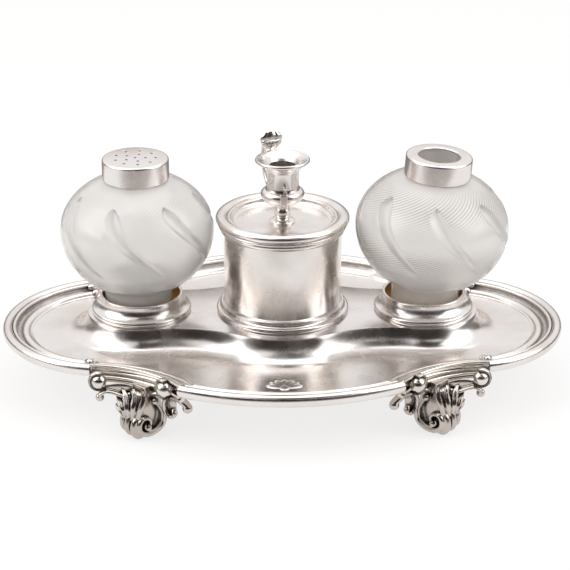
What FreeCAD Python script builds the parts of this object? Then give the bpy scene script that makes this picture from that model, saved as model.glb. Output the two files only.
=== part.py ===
"""Silver inkstand: footed tray with two pot rings, two glass pots and a lidded box with a taper socket.

Millimetres, +Z up, the table at z = 0, the tray's middle at x = y = 0 and the front towards -Y.
Every piece is written to parts/NAME.step as a node of its own.
"""
import FreeCAD, Part
import math
import os

V = FreeCAD.Vector
UP = V(0, 0, 1)
FULL_TURN = 360.0
HALF_TURN = 180.0

# Tray outline: round end lobes, shallow front and back lobes, corners bowed inwards,
# the left front one drawn in towards the middle
TRAY_LENGTH = 302.0
TRAY_DEPTH = 196.0
END_LOBE_RADIUS = 60.5
END_LOBE_SWEEP = 74.5
DRAWN_IN_SWEEP = 80.5
SIDE_LOBE_RADIUS = 123.0
SIDE_CHORD_SHARE = 0.2036
SIDE_LOBE_HALF_CHORD = SIDE_CHORD_SHARE * TRAY_LENGTH
DRAWN_IN_CHORD_SHARE = 0.1805
DRAWN_IN_HALF_CHORD = DRAWN_IN_CHORD_SHARE * TRAY_LENGTH
CORNER_BOW = 6.4
MITRE_OVERRUN = 12.0

# Tray sheet and moulded border
FOOT_HEIGHT = 27.3
BORDER_HEIGHT = 6.3
BORDER_WIDTH = 16.0
SHEET = 1.2
WELL_Z = FOOT_HEIGHT + SHEET
BORDER_BALL = 2.0
BALL_INSET_SHARES = (0.47, 0.85)
BALL_RISE_SHARES = (0.78, 0.40)
BALL_BACK_ANGLE = 1.5
BORDER_SHARES = (
    (0.11, 0.0),
    ((0.025, 0.26), (0.0, 0.571)),
    ((0.17, 1.0), (0.322, 0.752)),
    ((0.40, 0.833), (0.475, 0.698)),
    ((0.60, 0.43), (0.7625, 0.317)),
    ((0.85, 0.389), (0.9375, 0.286)),
    (1.0, 0.23),
    (1.0, 0.0),
)

# Corner scroll: a bar between two knobs, placed from the ends of the right front corner
SCROLL_BAR_RADIUS = 2.4
SCROLL_BAR_OUT_SHARE = 0.7
KNOB_RADIUS = 5.0
OUTER_KNOB_BACK = 5.4
OUTER_KNOB_OUT = 7.4
INNER_KNOB_ON = 6.7
INNER_KNOB_IN = 8.4
KNOB_RISE = 1.3
KNOB_Z = FOOT_HEIGHT + KNOB_RISE

# Foot, in its own frame: t along its width, n outwards, z up
FOOT_INSET = 7.1
FOOT_HEADING = 45.0
FOOT_WIDTH = 15.7
FOOT_DEPTH = 24.0
FOOT_BACK_SHARE = 0.5
FOOT_TAPER_SHARES = ((-0.40, 1.0), (-0.44, 0.62), (-0.5, 0.40), (-0.5, 0.0))
FOOT_SIDE_SHARES = (
    (0.22, 1.0),
    ((0.20, 0.70), (0.09, 0.42)),
    ((0.07, 0.10), (0.42, 0.0)),
    (0.72, 0.0),
    ((1.0, 0.21), (0.84, 0.42)),
    ((0.88, 0.64), (0.68, 0.86)),
    (0.66, 1.0),
)
VOLUTE_TUBE = 1.3
VOLUTE_SHARES = (
    (0.42, 0.66), (0.30, 0.50), (0.25, 0.33), (0.33, 0.16), (0.54, 0.08), (0.75, 0.13), (0.85, 0.29),
    (0.78, 0.40), (0.63, 0.38), (0.56, 0.28),
)
CURL_TUBE = 1.7
CURL_BALL = 2.5
INNER_CURL_HEADING = 26.0
INNER_ARM_SHARES = (
    (-0.20, 0.82), (-0.70, 0.893), (-1.02, 0.90), (-1.27, 0.886), (-1.46, 0.835), (-1.61, 0.77), (-1.66, 0.715),
)
INNER_CURL_SHARES = (
    (-0.99, 0.89), (-0.82, 0.76), (-0.80, 0.62), (-0.89, 0.49), (-1.04, 0.44), (-1.17, 0.50), (-1.13, 0.57),
)
OUTER_CURL_HEADING = -2.0
OUTER_CURL_SHARES = (
    (0.0, 0.62), (0.32, 0.68), (0.70, 0.77), (0.99, 0.84), (1.21, 0.86), (1.40, 0.805), (1.42, 0.74),
)

# Island that carries the rings and the box
RING_SHARE = 0.2517
RING_X = RING_SHARE * TRAY_LENGTH
ISLAND_RISE = 11.2
ISLAND_Z = WELL_Z + ISLAND_RISE
ISLAND_MIDDLE_RADIUS = 42.0
ISLAND_END_RADIUS = 28.4
ISLAND_WAIST_RADIUS = 66.0
ISLAND_COVE = 12.0
ISLAND_COVE_SHARES = (
    (0.0, 1.0), (0.04, 0.95), (0.11, 0.76), (0.24, 0.50), (0.45, 0.24), (0.72, 0.07), (1.0, 0.0),
)
ISLAND_SHEET_SHARE = 0.75

# Pots, both alike, as wide as the room beside the lid allows
LID_RADIUS = 35.5
POT_LID_GAP = 1.0
POUNCE_POT_SHIFT = -1.2
POT_RADIUS = RING_X - POUNCE_POT_SHIFT - LID_RADIUS - POT_LID_GAP
POT_FOOT_RADIUS = 18.2
POT_FOOT_HEIGHT = 14.5
POT_LOWER_SHARE = 0.8793
POT_LOWER_AXIS = POT_LOWER_SHARE * POT_RADIUS
POT_UPPER_SHARE = 0.7663
POT_UPPER_AXIS = POT_UPPER_SHARE * POT_RADIUS
POT_WALL = 4.2
POT_FLOOR_SHARE = 1.6
NECK_RADIUS = 15.5
NECK_BORE_RADIUS = 11.6
NECK_HEIGHT = 10.0
BAND_WALL = 0.8
BAND_FOOT_GAP = 0.6
CAP_WALL = 1.0
CAP_SLIP = 0.3
CAP_EDGE_ROUND = 1.3
CAP_SKIRT_GAP = 0.5
CAP_TOP_GAP = 0.3
CAP_TOP = 1.1
PIERCING_RADIUS = 0.75
PIERCING_RING_SHARES = ((0.0, 1), (0.31, 5), (0.61, 9))
COLLAR_MOUTH_RADIUS = 11.1
INK_LEAN = 4.4
INK_LEAN_HEADING = -20.0
INK_SEAT_GAP = 0.3

# Pot rings
RING_GAP = 2.4
RING_FLANGE_RADIUS = 26.7
RING_HEIGHT = 10.4
RING_SHARES = (
    (0.0, 0.0),
    (0.90, 0.0),
    ((1.0, 0.17), (0.90, 0.36)),
    (0.78, 0.38),
    ((0.36, 0.55), (0.25, 0.90)),
    ((0.12, 1.0), (0.0, 0.90)),
)

# Round box
BOX_RADIUS = 31.4
BOX_SHEET = 1.2
BOX_HEIGHT = 49.0
BASE_MOULDING_RADIUS = 35.5
BASE_MOULDING_HEIGHT = 6.2
BASE_MOULDING_SHARES = (
    (0.0, 0.0),
    (0.88, 0.0),
    ((1.0, 0.19), (0.88, 0.40)),
    (0.70, 0.44),
    ((0.45, 0.52), (0.36, 0.72)),
    ((0.36, 0.92), (0.14, 0.94)),
    (0.0, 1.0),
)
TOP_MOULDING_RADIUS = 33.2
TOP_MOULDING_HEIGHT = 3.4
TOP_MOULDING_SHARES = ((0.0, 0.0), ((1.0, 0.55), (0.55, 1.0)), (0.0, 1.0))

# Lid of the box
LID_Z = ISLAND_Z + BOX_HEIGHT
LID_HEIGHT = 6.0
LID_PLATE_RADIUS = 29.4
DISH_FLOOR_SHARE = 0.21
LID_RIM_SHARES = (
    (0.0, 0.0),
    (0.52, 0.0),
    ((0.80, 0.12), (0.66, 0.25)),
    ((1.0, 0.58), (0.72, 0.95)),
    ((0.36, 1.0), (0.0, 0.80)),
)
LID_PLATE_SHARES = (
    (0.0, 0.0),
    (1.0, 0.0),
    (1.0, 0.66),
    ((0.965, 0.82), (0.93, 0.66)),
    ((0.90, 0.36), (0.80, 0.26)),
    (0.30, DISH_FLOOR_SHARE),
    (0.0, DISH_FLOOR_SHARE),
)
BEZEL_DEPTH = 7.0
BEZEL_WALL = 0.9
BEZEL_SLIP = 0.3

# Taper socket on the lid
STUD_RADIUS = 1.9
STUD_SLIP = 0.1
NUT_RADIUS = 4.6
NUT_HEIGHT = 2.8
NUT_SIDES = 6
STUD_END = 1.2
STEM_Z = LID_Z + LID_HEIGHT * DISH_FLOOR_SHARE
STEM_HEIGHT = 10.2
STEM_RADIUS = 6.8
STEM_SHARES = (
    (1.0, 0.0),
    ((1.0, 0.07), (0.92, 0.12)),
    (0.52, 0.16),
    ((0.64, 0.54), (0.40, 0.90)),
    (0.45, 1.0),
)
SOCKET_Z = STEM_Z + STEM_HEIGHT
SOCKET_HEIGHT = 25.4
SOCKET_RADIUS = 14.4
TAPER_RADIUS = 7.0
TAPER_DEPTH = 17.0
SOCKET_BULB_SHARE = 0.80
SOCKET_TUBE_SHARE = 0.60
SOCKET_SHARES = (
    (0.22, 0.0),
    ((0.60, 0.05), (SOCKET_BULB_SHARE, 0.19)),
    ((0.76, 0.29), (0.64, 0.335)),
    (SOCKET_TUBE_SHARE, 0.38),
    ((0.585, 0.55), (0.60, 0.74)),
    (0.66, 0.77),
    ((0.74, 0.865), (0.97, 0.925)),
    ((1.0, 0.97), (0.96, 1.0)),
)
SOCKET_DISH_SHARES = (0.70, 0.945)
SOCKET_MOUTH_SHARE = 0.84

# Lug on the front of the socket: a plate with a narrow tongue riveted to the tube
LUG_WIDTH = 3.9
LUG_HEIGHT = 7.8
LUG_THICKNESS = 2.6
LUG_STAND_OFF = 0.9
LUG_DROP_SHARE = 0.04
LUG_OFFSET = 0.5
TONGUE_WIDTH = 1.8
TONGUE_HEIGHT = 3.2
TONGUE_THICKNESS = 1.8
RIVET_RADIUS = 1.2
RIVET_LENGTH = 2.4

# Handle behind the socket, in the upright plane of its heading
HANDLE_HEADING = 19.0
HANDLE_TUBE = 1.25
HANDLE_REACH = 30.0
HANDLE_SPAN = 25.4
HANDLE_SHARES = (
    (0.24, 0.13), (0.56, 0.03), (0.84, 0.20), (0.99, 0.50), (1.0, 0.76), (0.90, 0.98), (0.72, 1.04),
    (0.55, 1.0), (0.44, 0.93),
)
LEAF_HEIGHT = 10.5
LEAF_WIDTH = 12.4
LEAF_DEPTH = 4.6
LEAF_REACH_SHARE = 0.58
LEAF_FOOT_SHARE = 1.03
LEAF_LOBE_SHARES = ((-0.52, 0.10), (0.0, 0.16), (0.52, 0.10))
LEAF_LOBE_TILT = 65.0
LEAF_LOBE_WIDTH_SHARE = 0.40
LEAF_LOBE_LENGTH_SHARE = 0.42

# Low-relief palmette in the well, behind the front border
ORNAMENT_ROOM = TRAY_DEPTH / 2 - BORDER_WIDTH - ISLAND_MIDDLE_RADIUS - ISLAND_COVE
ORNAMENT_SHARE = 0.714
ORNAMENT_SIZE = ORNAMENT_SHARE * ORNAMENT_ROOM
ORNAMENT_RELIEF = 0.5
ORNAMENT_GAP_SHARE = 0.107
ORNAMENT_GAP = ORNAMENT_GAP_SHARE * ORNAMENT_ROOM
PETALS = 7
PETAL_FAN = 150.0
PETAL_ROOT_SHARE = 0.10
PETAL_WIDTH_SHARE = 0.26
ORNAMENT_BOSS_SHARE = 0.15


def turned(x, y, angle):
    """Plan point turned about the origin by degrees."""
    a = math.radians(angle)
    return x * math.cos(a) - y * math.sin(a), x * math.sin(a) + y * math.cos(a)


def edges_of(points):
    """Edges of a closed outline: a point is reached by a line, a (via, end) pair by an arc."""
    edges = []
    here = points[0]
    for step in points[1:] + points[:1]:
        if isinstance(step, tuple):
            edges.append(Part.Arc(here, step[0], step[1]).toShape())
            here = step[1]
        elif not here.isEqual(step, 0):
            edges.append(Part.makeLine(here, step))
            here = step
    return edges


def face_of(points):
    return Part.Face(Part.Wire(edges_of(points)))


def mapped(shares, place):
    """Outline points of a table of shares, each pair of shares placed by a function."""
    points = []
    for step in shares:
        if isinstance(step[0], tuple):
            points.append((place(*step[0]), place(*step[1])))
        else:
            points.append(place(*step))
    return points


def spun(points):
    """Solid of revolution about Z of an outline in the XZ plane."""
    return face_of(points).revolve(V(0, 0, 0), UP, FULL_TURN)


def spun_shares(shares, inner, outer, low, height):
    """Ring or disc whose section is a table of shares of its wall and its height."""
    return spun(mapped(shares, lambda a, b: V(inner + a * (outer - inner), 0, low + b * height)))


def tube(outer, inner, low, height):
    shell = Part.makeCylinder(outer, height, V(0, 0, low))
    return shell.cut(Part.makeCylinder(inner, height, V(0, 0, low)))


def moved(shape, x, y, z=0.0):
    copy = shape.copy()
    copy.translate(V(x, y, z))
    return copy


def rotated(shape, centre, axis, angle):
    copy = shape.copy()
    copy.rotate(centre, axis, angle)
    return copy


def mirrored(shape, side_x, side_y):
    """Copy of a right front piece on the corner with the signs given."""
    copy = shape
    if side_x < 0:
        copy = copy.mirror(V(0, 0, 0), V(1, 0, 0))
    if side_y > 0:
        copy = copy.mirror(V(0, 0, 0), V(0, 1, 0))
    return copy


def start_circle(edge, radius):
    """Closed round section across the start of an edge."""
    first = edge.FirstParameter
    return Part.Wire([Part.makeCircle(radius, edge.valueAt(first), edge.tangentAt(first))])


def swept(points, radius):
    """Round bar along a smooth line through points."""
    line = Part.BSplineCurve()
    line.interpolate(points)
    edge = line.toShape()
    return Part.Wire([edge]).makePipeShell([start_circle(edge, radius)], True, True)


def bent_bar(start, bend, end, radius):
    """Round bar along the arc through three points."""
    edge = Part.Arc(start, bend, end).toShape()
    section = Part.Face(start_circle(edge, radius))
    turn = math.degrees(edge.LastParameter - edge.FirstParameter)
    return section.revolve(edge.Curve.Center, edge.Curve.Axis, turn)


def ellipsoid(width, depth, height):
    """Ellipsoid about the origin from its three full sizes."""
    matrix = FreeCAD.Matrix()
    matrix.scale(width / height, depth / height, 1.0)
    return Part.makeSphere(height / 2).transformGeometry(matrix)


# Centres of the right end lobe and of the front lobe
END_CENTRE = V(TRAY_LENGTH / 2 - END_LOBE_RADIUS, 0, 0)
SIDE_CENTRE = V(0, SIDE_LOBE_RADIUS - TRAY_DEPTH / 2, 0)


class Corner:
    """Joints with the lobes and bowed arc of a corner, seen as the right front one."""

    def __init__(self, sweep, half_chord):
        x, y = turned(END_LOBE_RADIUS, 0, -sweep)
        drop = math.sqrt(SIDE_LOBE_RADIUS ** 2 - half_chord ** 2)
        self.sweep = sweep
        self.side_sweep = math.degrees(math.asin(half_chord / SIDE_LOBE_RADIUS))
        self.end = END_CENTRE + V(x, y, 0)
        self.side = SIDE_CENTRE + V(half_chord, -drop, 0)
        self.middle = (self.side + self.end) / 2
        self.half = (self.end - self.side).Length / 2
        self.radius = (self.half ** 2 + CORNER_BOW ** 2) / (2 * CORNER_BOW)
        along = (self.end - self.side).normalize()
        self.inwards = V(-along.y, along.x, 0)
        self.centre = self.middle - self.inwards * (self.radius - CORNER_BOW)

    def mitre(self, point, lobe_centre):
        """Inward direction that halves the joint between a lobe and the corner."""
        lobe_in = (lobe_centre - point).normalize()
        corner_in = (point - self.centre).normalize()
        return (lobe_in + corner_in).normalize()

    def side_mitre(self):
        return self.mitre(self.side, SIDE_CENTRE)

    def end_mitre(self):
        return self.mitre(self.end, END_CENTRE)


PLAIN_CORNER = Corner(END_LOBE_SWEEP, SIDE_LOBE_HALF_CHORD)
CORNERS = {
    (-1, -1): Corner(DRAWN_IN_SWEEP, DRAWN_IN_HALF_CHORD),
    (1, -1): PLAIN_CORNER,
    (-1, 1): PLAIN_CORNER,
    (1, 1): PLAIN_CORNER,
}


def on_circle(point, direction, centre, radius, far):
    """Where the line from a point meets a circle: the far or the near meeting."""
    offset = point - centre
    half = offset.dot(direction)
    root = math.sqrt(max(half ** 2 - offset.dot(offset) + radius ** 2, 0))
    return point + direction * (root - half if far else -root - half)


def inner_points(corner):
    """Inner edge of the border at a corner, from the front lobe to the end lobe."""
    bowed = corner.radius + BORDER_WIDTH
    return [
        on_circle(corner.side, corner.side_mitre(), SIDE_CENTRE, SIDE_LOBE_RADIUS - BORDER_WIDTH, False),
        on_circle(corner.side, corner.side_mitre(), corner.centre, bowed, True),
        corner.centre + corner.inwards * bowed,
        on_circle(corner.end, corner.end_mitre(), corner.centre, bowed, True),
        on_circle(corner.end, corner.end_mitre(), END_CENTRE, END_LOBE_RADIUS - BORDER_WIDTH, False),
    ]


def flipped(point, side_x, side_y):
    return V(point.x * side_x, -point.y * side_y, point.z)


def quarter_edges(side_x, side_y, low, towards_end):
    """Lines and arc of one corner of the sheet's outline."""
    front, bow_front, middle, bow_end, end = [
        flipped(p, side_x, side_y) + V(0, 0, low) for p in inner_points(CORNERS[side_x, side_y])
    ]
    runs = [(front, bow_front), (bow_front, middle, bow_end), (bow_end, end)]
    if not towards_end:
        runs = [run[::-1] for run in runs[::-1]]
    edges = []
    for run in runs:
        if len(run) == 3:
            edges.append(Part.Arc(*run).toShape())
        else:
            edges.append(Part.makeLine(*run))
    return edges, runs[0][0], runs[-1][-1]


def sheet_face(low):
    """Flat face inside the border, at a height."""
    end_x = TRAY_LENGTH / 2 - BORDER_WIDTH
    side_y = TRAY_DEPTH / 2 - BORDER_WIDTH
    corners = [
        quarter_edges(1, -1, low, True),
        quarter_edges(1, 1, low, False),
        quarter_edges(-1, 1, low, True),
        quarter_edges(-1, -1, low, False),
    ]
    vias = [V(end_x, 0, low), V(0, side_y, low), V(-end_x, 0, low), V(0, -side_y, low)]
    edges = []
    for index, (run, start, stop) in enumerate(corners):
        edges += run
        following = corners[(index + 1) % len(corners)][1]
        edges.append(Part.Arc(stop, vias[index], following).toShape())
    return Part.Face(Part.Wire(edges))


def island_wire(grow, height):
    """Outline of the island grown outwards: two round ends and a round middle joined by waists."""
    middle = ISLAND_MIDDLE_RADIUS + grow
    end = ISLAND_END_RADIUS + grow
    waist = ISLAND_WAIST_RADIUS - grow
    far_middle = ISLAND_MIDDLE_RADIUS + ISLAND_WAIST_RADIUS
    far_end = ISLAND_END_RADIUS + ISLAND_WAIST_RADIUS
    x = (far_middle ** 2 - far_end ** 2 + RING_X ** 2) / (2 * RING_X)
    y = math.sqrt(far_middle ** 2 - x ** 2)
    hub = V(x, y, 0)
    ring = V(RING_X, 0, 0)
    inner = hub * (middle / far_middle)
    outer = ring + (hub - ring) * (end / far_end)
    bend = hub - ((hub * (1 / far_middle) + (hub - ring) * (1 / far_end)).normalize()) * waist

    def at(point, side_x, side_y):
        return V(point.x * side_x, point.y * side_y, height)

    stops = [
        (at(outer, 1, -1), V(RING_X + end, 0, height), at(outer, 1, 1)),
        (at(outer, 1, 1), at(bend, 1, 1), at(inner, 1, 1)),
        (at(inner, 1, 1), V(0, middle, height), at(inner, -1, 1)),
        (at(inner, -1, 1), at(bend, -1, 1), at(outer, -1, 1)),
        (at(outer, -1, 1), V(-RING_X - end, 0, height), at(outer, -1, -1)),
        (at(outer, -1, -1), at(bend, -1, -1), at(inner, -1, -1)),
        (at(inner, -1, -1), V(0, -middle, height), at(inner, 1, -1)),
        (at(inner, 1, -1), at(bend, 1, -1), at(outer, 1, -1)),
    ]
    return Part.Wire([Part.Arc(*stop).toShape() for stop in stops])


def island_block(inset, drop):
    """Solid under the island's skin, drawn in and lowered for the hollow."""
    wires = []
    for out, up in ISLAND_COVE_SHARES:
        wires.append(island_wire(ISLAND_COVE * out - inset, WELL_Z + ISLAND_RISE * up - drop))
    skirt = island_wire(ISLAND_COVE - inset, WELL_Z - SHEET - drop)
    upper = Part.makeLoft(wires, True, False)
    lower = Part.makeLoft([wires[-1], skirt], True, True)
    return upper.fuse(lower).removeSplitter()


def tray_body():
    """Sheet with its well and the hollow island, one raised piece."""
    floor = sheet_face(WELL_Z - SHEET).extrude(V(0, 0, SHEET))
    raised = floor.fuse(island_block(0, 0))
    return raised.cut(island_block(SHEET * ISLAND_SHEET_SHARE, SHEET)).removeSplitter()


def border_run(centre, radius, inwards, heading, sweep):
    """Moulding swept on an arc: inwards is -1 towards the arc's centre, 1 away from it."""
    section = face_of(mapped(BORDER_SHARES, lambda a, b: V(
        radius + inwards * a * BORDER_WIDTH, 0, FOOT_HEIGHT + b * BORDER_HEIGHT)))
    run = section.revolve(V(0, 0, 0), UP, 2 * sweep)
    run.rotate(V(0, 0, 0), UP, heading - sweep)
    return moved(run, centre.x, centre.y)


def beyond(point, way, side):
    """Tall block on one side of the upright plane through a point along a direction."""
    across = V(-way.y, way.x, 0) * side
    reach = TRAY_LENGTH
    corners = [point - way * reach, point + way * reach]
    corners += [corners[1] + across * reach, corners[0] + across * reach]
    return Part.Face(Part.makePolygon(corners + corners[:1])).extrude(V(0, 0, reach))


def end_border(side_x):
    """End lobe with two small balls at each end of its beads."""
    overrun = math.degrees(MITRE_OVERRUN / END_LOBE_RADIUS)
    widest = max(CORNERS[side_x, side_y].sweep for side_y in (-1, 1))
    run = border_run(END_CENTRE, END_LOBE_RADIUS, -1, 0, widest + overrun)
    cutters = []
    balls = []
    for side_y in (-1, 1):
        corner = CORNERS[side_x, side_y]
        cutters.append(mirrored(beyond(corner.end, corner.end_mitre(), 1), 1, side_y))
        for inset, rise in zip(BALL_INSET_SHARES, BALL_RISE_SHARES):
            x, y = turned(END_LOBE_RADIUS - inset * BORDER_WIDTH, 0, side_y * (corner.sweep - BALL_BACK_ANGLE))
            height = FOOT_HEIGHT + rise * BORDER_HEIGHT
            balls.append(Part.makeSphere(BORDER_BALL, END_CENTRE + V(x, y, height)))
    inside = mirrored(sheet_face(0).extrude(V(0, 0, TRAY_LENGTH)), side_x, -1)
    run = run.cut(cutters).fuse(balls)
    return mirrored(run.cut(inside).cut(cutters), side_x, -1)


def side_border(side_y):
    """Front or back lobe of the border."""
    overrun = math.degrees(MITRE_OVERRUN / SIDE_LOBE_RADIUS)
    widest = max(CORNERS[side_x, side_y].side_sweep for side_x in (-1, 1))
    run = border_run(SIDE_CENTRE, SIDE_LOBE_RADIUS, -1, -HALF_TURN / 2, widest + overrun)
    for side_x in (-1, 1):
        corner = CORNERS[side_x, side_y]
        run = run.cut(mirrored(beyond(corner.side, corner.side_mitre(), -1), side_x, -1))
    return mirrored(run, 1, side_y)


def corner_border(corner, neighbours):
    """Bowed moulding with a scroll bar and a knob at each of its ends, as the right front corner."""
    half = math.degrees(math.asin(corner.half / corner.radius))
    overrun = math.degrees(MITRE_OVERRUN / corner.radius)
    heading = math.degrees(math.atan2(corner.inwards.y, corner.inwards.x))
    run = border_run(corner.centre, corner.radius, 1, heading, half + overrun)
    run = run.cut(beyond(corner.side, corner.side_mitre(), 1))
    run = run.cut(beyond(corner.end, corner.end_mitre(), -1))
    outer = corner.end + V(-OUTER_KNOB_BACK, -OUTER_KNOB_OUT, KNOB_Z)
    inner = corner.side + V(INNER_KNOB_ON, INNER_KNOB_IN, KNOB_Z)
    hub = corner.centre + V(0, 0, KNOB_Z)
    bow = corner.radius - SCROLL_BAR_RADIUS * SCROLL_BAR_OUT_SHARE
    bend = hub + ((outer + inner) / 2 - hub).normalize() * bow
    knobs = [Part.makeSphere(KNOB_RADIUS, outer), Part.makeSphere(KNOB_RADIUS, inner)]
    scroll = bent_bar(outer, bend, inner, SCROLL_BAR_RADIUS).fuse(knobs)
    return run.fuse(scroll.cut(neighbours))


def foot_place(across, outwards, up):
    """Point of the foot's own frame before it is turned to its heading."""
    return V(across, -outwards, up)


def foot_side(across):
    """Place function of the side outline at a distance across the foot."""
    def place(a, b):
        return foot_place(across, (a - FOOT_BACK_SHARE) * FOOT_DEPTH, b * FOOT_HEIGHT)
    return place


def foot_bracket():
    """Scroll bracket: side outline drawn across the foot, tapered towards its top."""
    body = face_of(mapped(FOOT_SIDE_SHARES, foot_side(-FOOT_WIDTH / 2))).extrude(V(FOOT_WIDTH, 0, 0))
    left = [V(a * FOOT_WIDTH, -FOOT_DEPTH, b * FOOT_HEIGHT) for a, b in FOOT_TAPER_SHARES]
    right = [V(-p.x, p.y, p.z) for p in left[::-1]]
    front = Part.Face(Part.makePolygon(left + right + left[:1])).extrude(V(0, 2 * FOOT_DEPTH, 0))
    return body.common(front)


def foot_curl(shares, heading):
    """Side curl in the upright plane of a heading, with a ball at its free end."""
    points = []
    for across, up in shares:
        x, y = turned(across * FOOT_WIDTH, 0, heading - FOOT_HEADING)
        points.append(V(x, y, up * FOOT_HEIGHT))
    return [swept(points, CURL_TUBE), Part.makeSphere(CURL_BALL, points[-1])]


def foot_casting():
    """Foot with its volutes and curls, turned to the right front corner and not yet placed."""
    pieces = []
    for side in (-1, 1):
        place = foot_side(side * FOOT_WIDTH / 2)
        points = [place(a, b) for a, b in VOLUTE_SHARES]
        pieces += [swept(points, VOLUTE_TUBE), Part.makeSphere(VOLUTE_TUBE, points[0]),
                   Part.makeSphere(VOLUTE_TUBE, points[-1])]
    pieces += foot_curl(INNER_ARM_SHARES, INNER_CURL_HEADING)
    pieces += foot_curl(INNER_CURL_SHARES, INNER_CURL_HEADING)
    pieces += foot_curl(OUTER_CURL_SHARES, OUTER_CURL_HEADING)
    whole = foot_bracket()
    for piece in pieces:
        whole = whole.fuse(piece)
    whole = whole.common(Part.makeBox(TRAY_LENGTH, TRAY_LENGTH, FOOT_HEIGHT,
                                      V(-TRAY_LENGTH / 2, -TRAY_LENGTH / 2, 0)))
    whole.rotate(V(0, 0, 0), UP, FOOT_HEADING)
    return whole


def foot(corner, casting, neighbours):
    """Foot under the middle of a corner."""
    inset_x, inset_y = turned(0, FOOT_INSET, FOOT_HEADING)
    spot = corner.middle + V(inset_x, inset_y, 0)
    return moved(casting, spot.x, spot.y).cut(neighbours)


def pot_ring():
    inner = POT_FOOT_RADIUS + RING_GAP
    return spun_shares(RING_SHARES, inner, RING_FLANGE_RADIUS, ISLAND_Z, RING_HEIGHT)


# Heights of the pots above their own foot
POT_MIDDLE = POT_FOOT_HEIGHT + POT_LOWER_AXIS * math.sqrt(1 - (POT_FOOT_RADIUS / POT_RADIUS) ** 2)
CAP_INNER_RADIUS = NECK_RADIUS + BAND_WALL + CAP_SLIP
CAP_RADIUS = CAP_INNER_RADIUS + CAP_WALL
POT_SHOULDER = POT_MIDDLE + POT_UPPER_AXIS * math.sqrt(1 - (CAP_INNER_RADIUS / POT_RADIUS) ** 2)
NECK_TOP = POT_SHOULDER + NECK_HEIGHT


def oval_edge(width, height, low_radius, high_radius):
    """Quarter-oval edges of a globe: below and above its widest place."""
    lower_axis, upper_axis = height
    centre = V(0, 0, POT_MIDDLE)
    edges = []
    for axis, radius, sign in ((lower_axis, low_radius, -1), (upper_axis, high_radius, 1)):
        major = V(width, 0, POT_MIDDLE)
        minor = V(0, 0, POT_MIDDLE + sign * axis)
        oval = Part.Ellipse(major, minor, centre)
        edges.append(Part.ArcOfEllipse(oval, 0, math.acos(radius / width)).toShape())
    return edges


def globe(width, height, low_radius, high_radius, low, high):
    """Solid globe with a straight foot below and a straight neck above it."""
    arcs = oval_edge(width, height, low_radius, high_radius)
    bottom = arcs[0].Vertexes[-1].Point
    top = arcs[1].Vertexes[-1].Point
    lines = [
        Part.makeLine(V(0, 0, low), V(low_radius, 0, low)),
        Part.makeLine(V(low_radius, 0, low), bottom),
        Part.makeLine(top, V(high_radius, 0, high)),
        Part.makeLine(V(high_radius, 0, high), V(0, 0, high)),
        Part.makeLine(V(0, 0, high), V(0, 0, low)),
    ]
    wire = Part.Wire(Part.__sortEdges__(lines + arcs))
    return Part.Face(wire).revolve(V(0, 0, 0), UP, FULL_TURN)


def pot_glass():
    """Hollow glass globe on a foot, standing on z = 0."""
    body = globe(POT_RADIUS, (POT_LOWER_AXIS, POT_UPPER_AXIS), POT_FOOT_RADIUS, NECK_RADIUS, 0, NECK_TOP)
    inner_axes = (POT_LOWER_AXIS - POT_WALL * POT_FLOOR_SHARE, POT_UPPER_AXIS - POT_WALL)
    arcs = oval_edge(POT_RADIUS - POT_WALL, inner_axes, 0, NECK_BORE_RADIUS)
    bottom = V(0, 0, POT_MIDDLE - inner_axes[0])
    shoulder = arcs[1].Vertexes[-1].Point
    lines = [
        Part.makeLine(shoulder, V(NECK_BORE_RADIUS, 0, NECK_TOP)),
        Part.makeLine(V(NECK_BORE_RADIUS, 0, NECK_TOP), V(0, 0, NECK_TOP)),
        Part.makeLine(V(0, 0, NECK_TOP), bottom),
    ]
    wire = Part.Wire(Part.__sortEdges__(lines + arcs))
    return body.cut(Part.Face(wire).revolve(V(0, 0, 0), UP, FULL_TURN))


def neck_low():
    """Height where the straight neck leaves the globe."""
    return POT_MIDDLE + POT_UPPER_AXIS * math.sqrt(1 - (NECK_RADIUS / POT_RADIUS) ** 2)


def neck_band():
    low = neck_low() + BAND_FOOT_GAP
    return tube(NECK_RADIUS + BAND_WALL, NECK_RADIUS, low, NECK_TOP - low)


def cap_blank():
    """Slip-on cup with a rounded top edge, over the neck band."""
    inner = CAP_INNER_RADIUS
    low = POT_SHOULDER + CAP_SKIRT_GAP
    under = NECK_TOP + CAP_TOP_GAP
    top = under + CAP_TOP
    slant = CAP_EDGE_ROUND * (1 - math.sqrt(0.5))
    outline = [
        V(inner, 0, low),
        V(CAP_RADIUS, 0, low),
        V(CAP_RADIUS, 0, top - CAP_EDGE_ROUND),
        (V(CAP_RADIUS - slant, 0, top - slant), V(CAP_RADIUS - CAP_EDGE_ROUND, 0, top)),
        V(0, 0, top),
        V(0, 0, under),
        V(inner, 0, under),
    ]
    return spun(outline)


def pounce_cap():
    holes = []
    for share, count in PIERCING_RING_SHARES:
        for index in range(count):
            x, y = turned(share * CAP_RADIUS, 0, FULL_TURN * index / count)
            holes.append(Part.makeCylinder(PIERCING_RADIUS, 2 * NECK_TOP, V(x, y, 0)))
    return cap_blank().cut(holes)


def ink_collar():
    return cap_blank().cut(Part.makeCylinder(COLLAR_MOUTH_RADIUS, 2 * NECK_TOP))


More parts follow.
